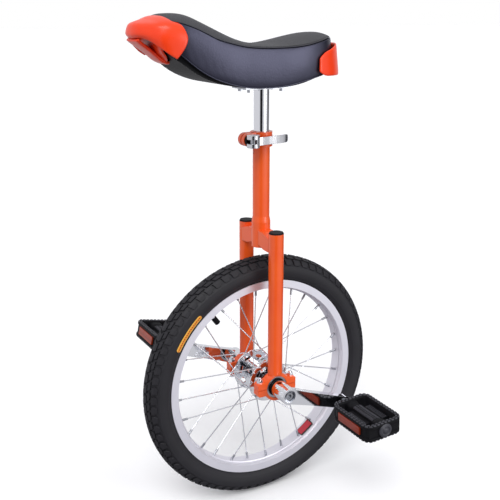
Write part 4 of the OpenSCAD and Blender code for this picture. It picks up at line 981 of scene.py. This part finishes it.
# %% Rear bumper
tail = sorted((k for k in range(ROUND) if seat_loop[k].x < -58),
              key=lambda k: math.atan2(seat_loop[k].y, -seat_loop[k].x - 40), reverse=True)
points = []
BAND_ROWS = 7
for number, k in enumerate(tail):
    p, n = seat_loop[k], seat_normals[k]
    end = min(number, len(tail) - 1 - number)
    back = min(end / 9, 1)
    corner = 7 * max(0, 1 - end / 2.5) ** 2
    for row in range(BAND_ROWS):
        share = row / (BAND_ROWS - 1)
        off = 3.2 + back * (3.5 + 5.5 * (1 - share))
        low = 16.5 - 1.5 * back + corner
        high = 51 + 15 * back - corner
        q = p + n * off
        points.append(Vector((q.x, q.y, seat_z + low + (high - low) * share)) * MM)
band = piece_from("rear_bumper_band", points, grid_faces(len(tail), BAND_ROWS), moulding)
if sum(f.normal.x * -1 for f in band.data.polygons if f.center.x / MM < -100) < 0:
    band.data.flip_normals()
wall = band.modifiers.new("wall", "SOLIDIFY")
wall.thickness = 3.2 * MM
wall.offset = -0.2
fine = band.modifiers.new("fine", "SUBSURF")
fine.levels = fine.render_levels = 2
band = bake(band, "rear_bumper_band", moulding)
tab = strap("bumper_tab", [(-92, 17, 24, 1.6), (-104, 19.5, 26, 1.8), (-114, 21, 28, 2),
                           (-122, 23, 28, 2.4), (-126, 28, 26, 1.8)], moulding)
bumper = join("rear_bumper_moulding", band, tab)
finish_piece(bumper, "seat", "bumper_plastic", "rear_bumper")

# %% [markdown]
# ## Pedals
# A platform pedal is one black moulding: a rounded frame with a waist where the reflectors sit, a
# barrel down the middle for the spindle, and a low web on either side of it with windows at its ends.
# Two rows of teeth stand on the frame's top and bottom, and small studs stand in rows on the barrel
# and the webs, all for the grip of a shoe. The round cap at the end has rings turned in it.
# One pedal is made at the origin, then copied to its place on each crank; the right one is a mirror.

# %% Frame of the pedal
HALF_X, HALF_Y, CORNER = 38, 52, 15   # mm: half its width, half its length, the corners' radius


def frame_path(inset, z, per_corner=8, per_side=6):
    """Points in mm round the pedal's rounded outline, that far in, at height z."""
    path = []
    reach = CORNER - inset
    for number, (sx, sy) in enumerate(((1, 1), (-1, 1), (-1, -1), (1, -1))):
        for k in range(per_corner + 1):
            a = math.radians(90 * (number + k / per_corner))
            path.append(Vector((sx * (HALF_X - CORNER) + reach * math.cos(a),
                                sy * (HALF_Y - CORNER) + reach * math.sin(a), z)))
    filled = []
    for a, b in zip(path, path[1:] + path[:1]):
        far = (b - a).length > 12
        filled += [a.lerp(b, k / per_side) for k in range(per_side)] if far else [a]
    return filled


FRAME_SECTION = [(1.0, -13.7), (0.1, -12.8), (0, -10.4), (0.3, -9.0), (3.6, -8.0), (3.6, 8.0),
                 (0.3, 9.0), (0, 10.4), (0.1, 12.8), (1.0, 13.7), (7.2, 13.7), (8.2, 12.8),
                 (8.2, -12.8), (7.2, -13.7)]
loops = [frame_path(inset, z) for inset, z in FRAME_SECTION]
points = [p * MM for loop in loops for p in loop]
cage = piece_from("pedal_frame", points, grid_faces(len(loops), len(loops[0]), True, True), nylon)

# %% Barrel, web and end walls
BARREL = [(-50, 12, 12), (-43, 12, 12), (-36, 11.5, 11), (-29, 10, 9.5), (0, 10, 9),
          (26, 10, 9.5), (33, 12, 11.5), (40, 13, 12), (50, 13, 12)]


def barrel_point(y, wide, tall, angle):
    """A point in mm on the barrel's rounded square section."""
    c, s = math.cos(angle), math.sin(angle)
    return Vector((math.copysign(abs(c) ** 0.6, c) * wide, y, math.copysign(abs(s) ** 0.6, s) * tall))


stations = smooth_table(BARREL, 4)
SIDES = 32
points = [barrel_point(y, wide, tall, math.tau * k / SIDES) * MM
          for y, wide, tall in stations for k in range(SIDES)]
last = (len(stations) - 1) * SIDES
faces = grid_faces(len(stations), SIDES, round_columns=True)
faces += [list(range(SIDES)), [last + k for k in range(SIDES)]]
barrel = piece_from("pedal_barrel", points, faces, nylon)


def block(name, low, high, finish):
    """A plain block between two corners in mm."""
    size = [b - a for a, b in zip(low, high)]
    made = lozenge(name, size, finish, top=1.0)
    made.data.transform(Matrix.Translation([(a + b) / 2 * MM for a, b in zip(low, high)]))
    for face in made.data.polygons:
        face.use_smooth = False
    return made


walls = [block("pedal_end_wall", (-32, s * 46.5 - 3, -11), (32, s * 46.5 + 3, 11), nylon)
         for s in (-1, 1)]
webs = [block("pedal_web", (sx * 20.5 - 11.5, -25, -5), (sx * 20.5 + 11.5, 23, 3.6), nylon)
        for sx in (-1, 1)]
ribs = [block("pedal_rib", (sx * 24 - 4, 48.2, z - 0.8), (sx * 24 + 4, 49.6, z + 0.8), nylon)
        for sx in (-1, 1) for z in (-4, 0, 4)]

# %% Teeth and studs
# The teeth and studs take the lighter plastic, a painted highlight on the ridges.
tooth = lozenge("tooth", (5.0, 2.5, 2.2), highlit_nylon, top=0.85)
TOOTH_STEP = 7.6
teeth = []
for z in (-13.9, 13.9):
    outer_row = frame_path(2.0, z)
    inner_row = frame_path(6.0, z)
    shift = len(inner_row) // 2
    teeth.append([p * MM for p in outer_row])
    teeth.append([p * MM for p in inner_row[shift:] + inner_row[:shift]])
teeth = copies_along("pedal_teeth", teeth, True, tooth, TOOTH_STEP * MM, highlit_nylon)
stud = lozenge("stud", (2.0, 2.0, 2.0), highlit_nylon, top=0.5)
rows = []
for side in (-1, 1):
    for column in range(-3, 4):
        angle = math.pi / 2 - column * 0.22
        shift = 1.3 * (column % 2)
        rows.append([Vector((p.x, p.y, side * (p.z + 0.1))) * MM
                     for p in (barrel_point(-26 + shift, 10, 9.5, angle),
                               barrel_point(0, 10, 9, angle),
                               barrel_point(24 + shift, 10, 9.5, angle))])
    for x in (-25, -21.5, -18, 18, 21.5, 25):
        z = 3.9 if side > 0 else -5.3
        rows.append([Vector((x, -23, z)) * MM, Vector((x, 21, z)) * MM])
studs = copies_along("pedal_studs", rows, False, stud, 3.2 * MM, highlit_nylon)
pedal = join("pedal", cage, barrel, *walls, *webs, *ribs, teeth, studs)
print("a pedal has", len(pedal.data.polygons), "faces")

# %% Ringed cap
CAP = [(0.2, 55.4), (3.8, 55.2), (5.0, 54.4), (5.6, 53.2), (7.2, 53.2), (7.8, 54.6), (9.6, 54.6),
       (10.2, 53.4), (11.4, 53.4), (12.2, 52.8), (12.4, 51.6), (12.4, 48.5), (0.2, 48.5)]
CAP_SIDES = 40
cap_turns = [math.tau * k / CAP_SIDES for k in range(CAP_SIDES)]
points = [Vector((r * math.cos(a), y, r * math.sin(a))) * MM for r, y in CAP for a in cap_turns]
# The cap takes the lighter plastic too, a painted highlight.
cap = piece_from("pedal_cap", points, grid_faces(len(CAP), CAP_SIDES, round_columns=True), highlit_nylon)

# %% Put a pedal on each crank
for side, s, lean in (("left", 1, 3), ("right", -1, -12)):
    centre = Vector(next(j for j in frame["joints"] if j["name"] == side + "_pedal_spin")["pos_m"])
    place = (Matrix.Translation(centre) @ Matrix.Rotation(math.radians(lean), 4, "Y")
             @ Matrix.Diagonal((1, s, 1, 1)))
    for part, node, slot in ((pedal, "_pedal_body", "black_plastic"),
                             (cap, "_pedal_cap", "black_plastic")):
        mesh = part.data.copy()
        mesh.transform(place)
        if s < 0:
            mesh.flip_normals()
        piece = bpy.data.objects.new(side + part.name.replace("pedal", "_pedal_moulding"), mesh)
        bpy.context.scene.collection.objects.link(piece)
        soft = piece.modifiers.new("soft", "BEVEL")
        soft.width = 0.3 * MM
        soft.segments = 2
        soft.angle_limit = math.radians(50)
        finish_piece(piece, side + "_pedal", slot, side + node)
for spare in (pedal, cap, tooth, stud):
    bpy.data.objects.remove(spare)

# %% [markdown]
# ## The end
# The model's box is measured once more and kept with the CAD's in one table.

# %% Sizes and finish
boxes = {"cad": cad_box, "finished": [list(corner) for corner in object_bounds()]}
print("the finished box in metres:", boxes["finished"])
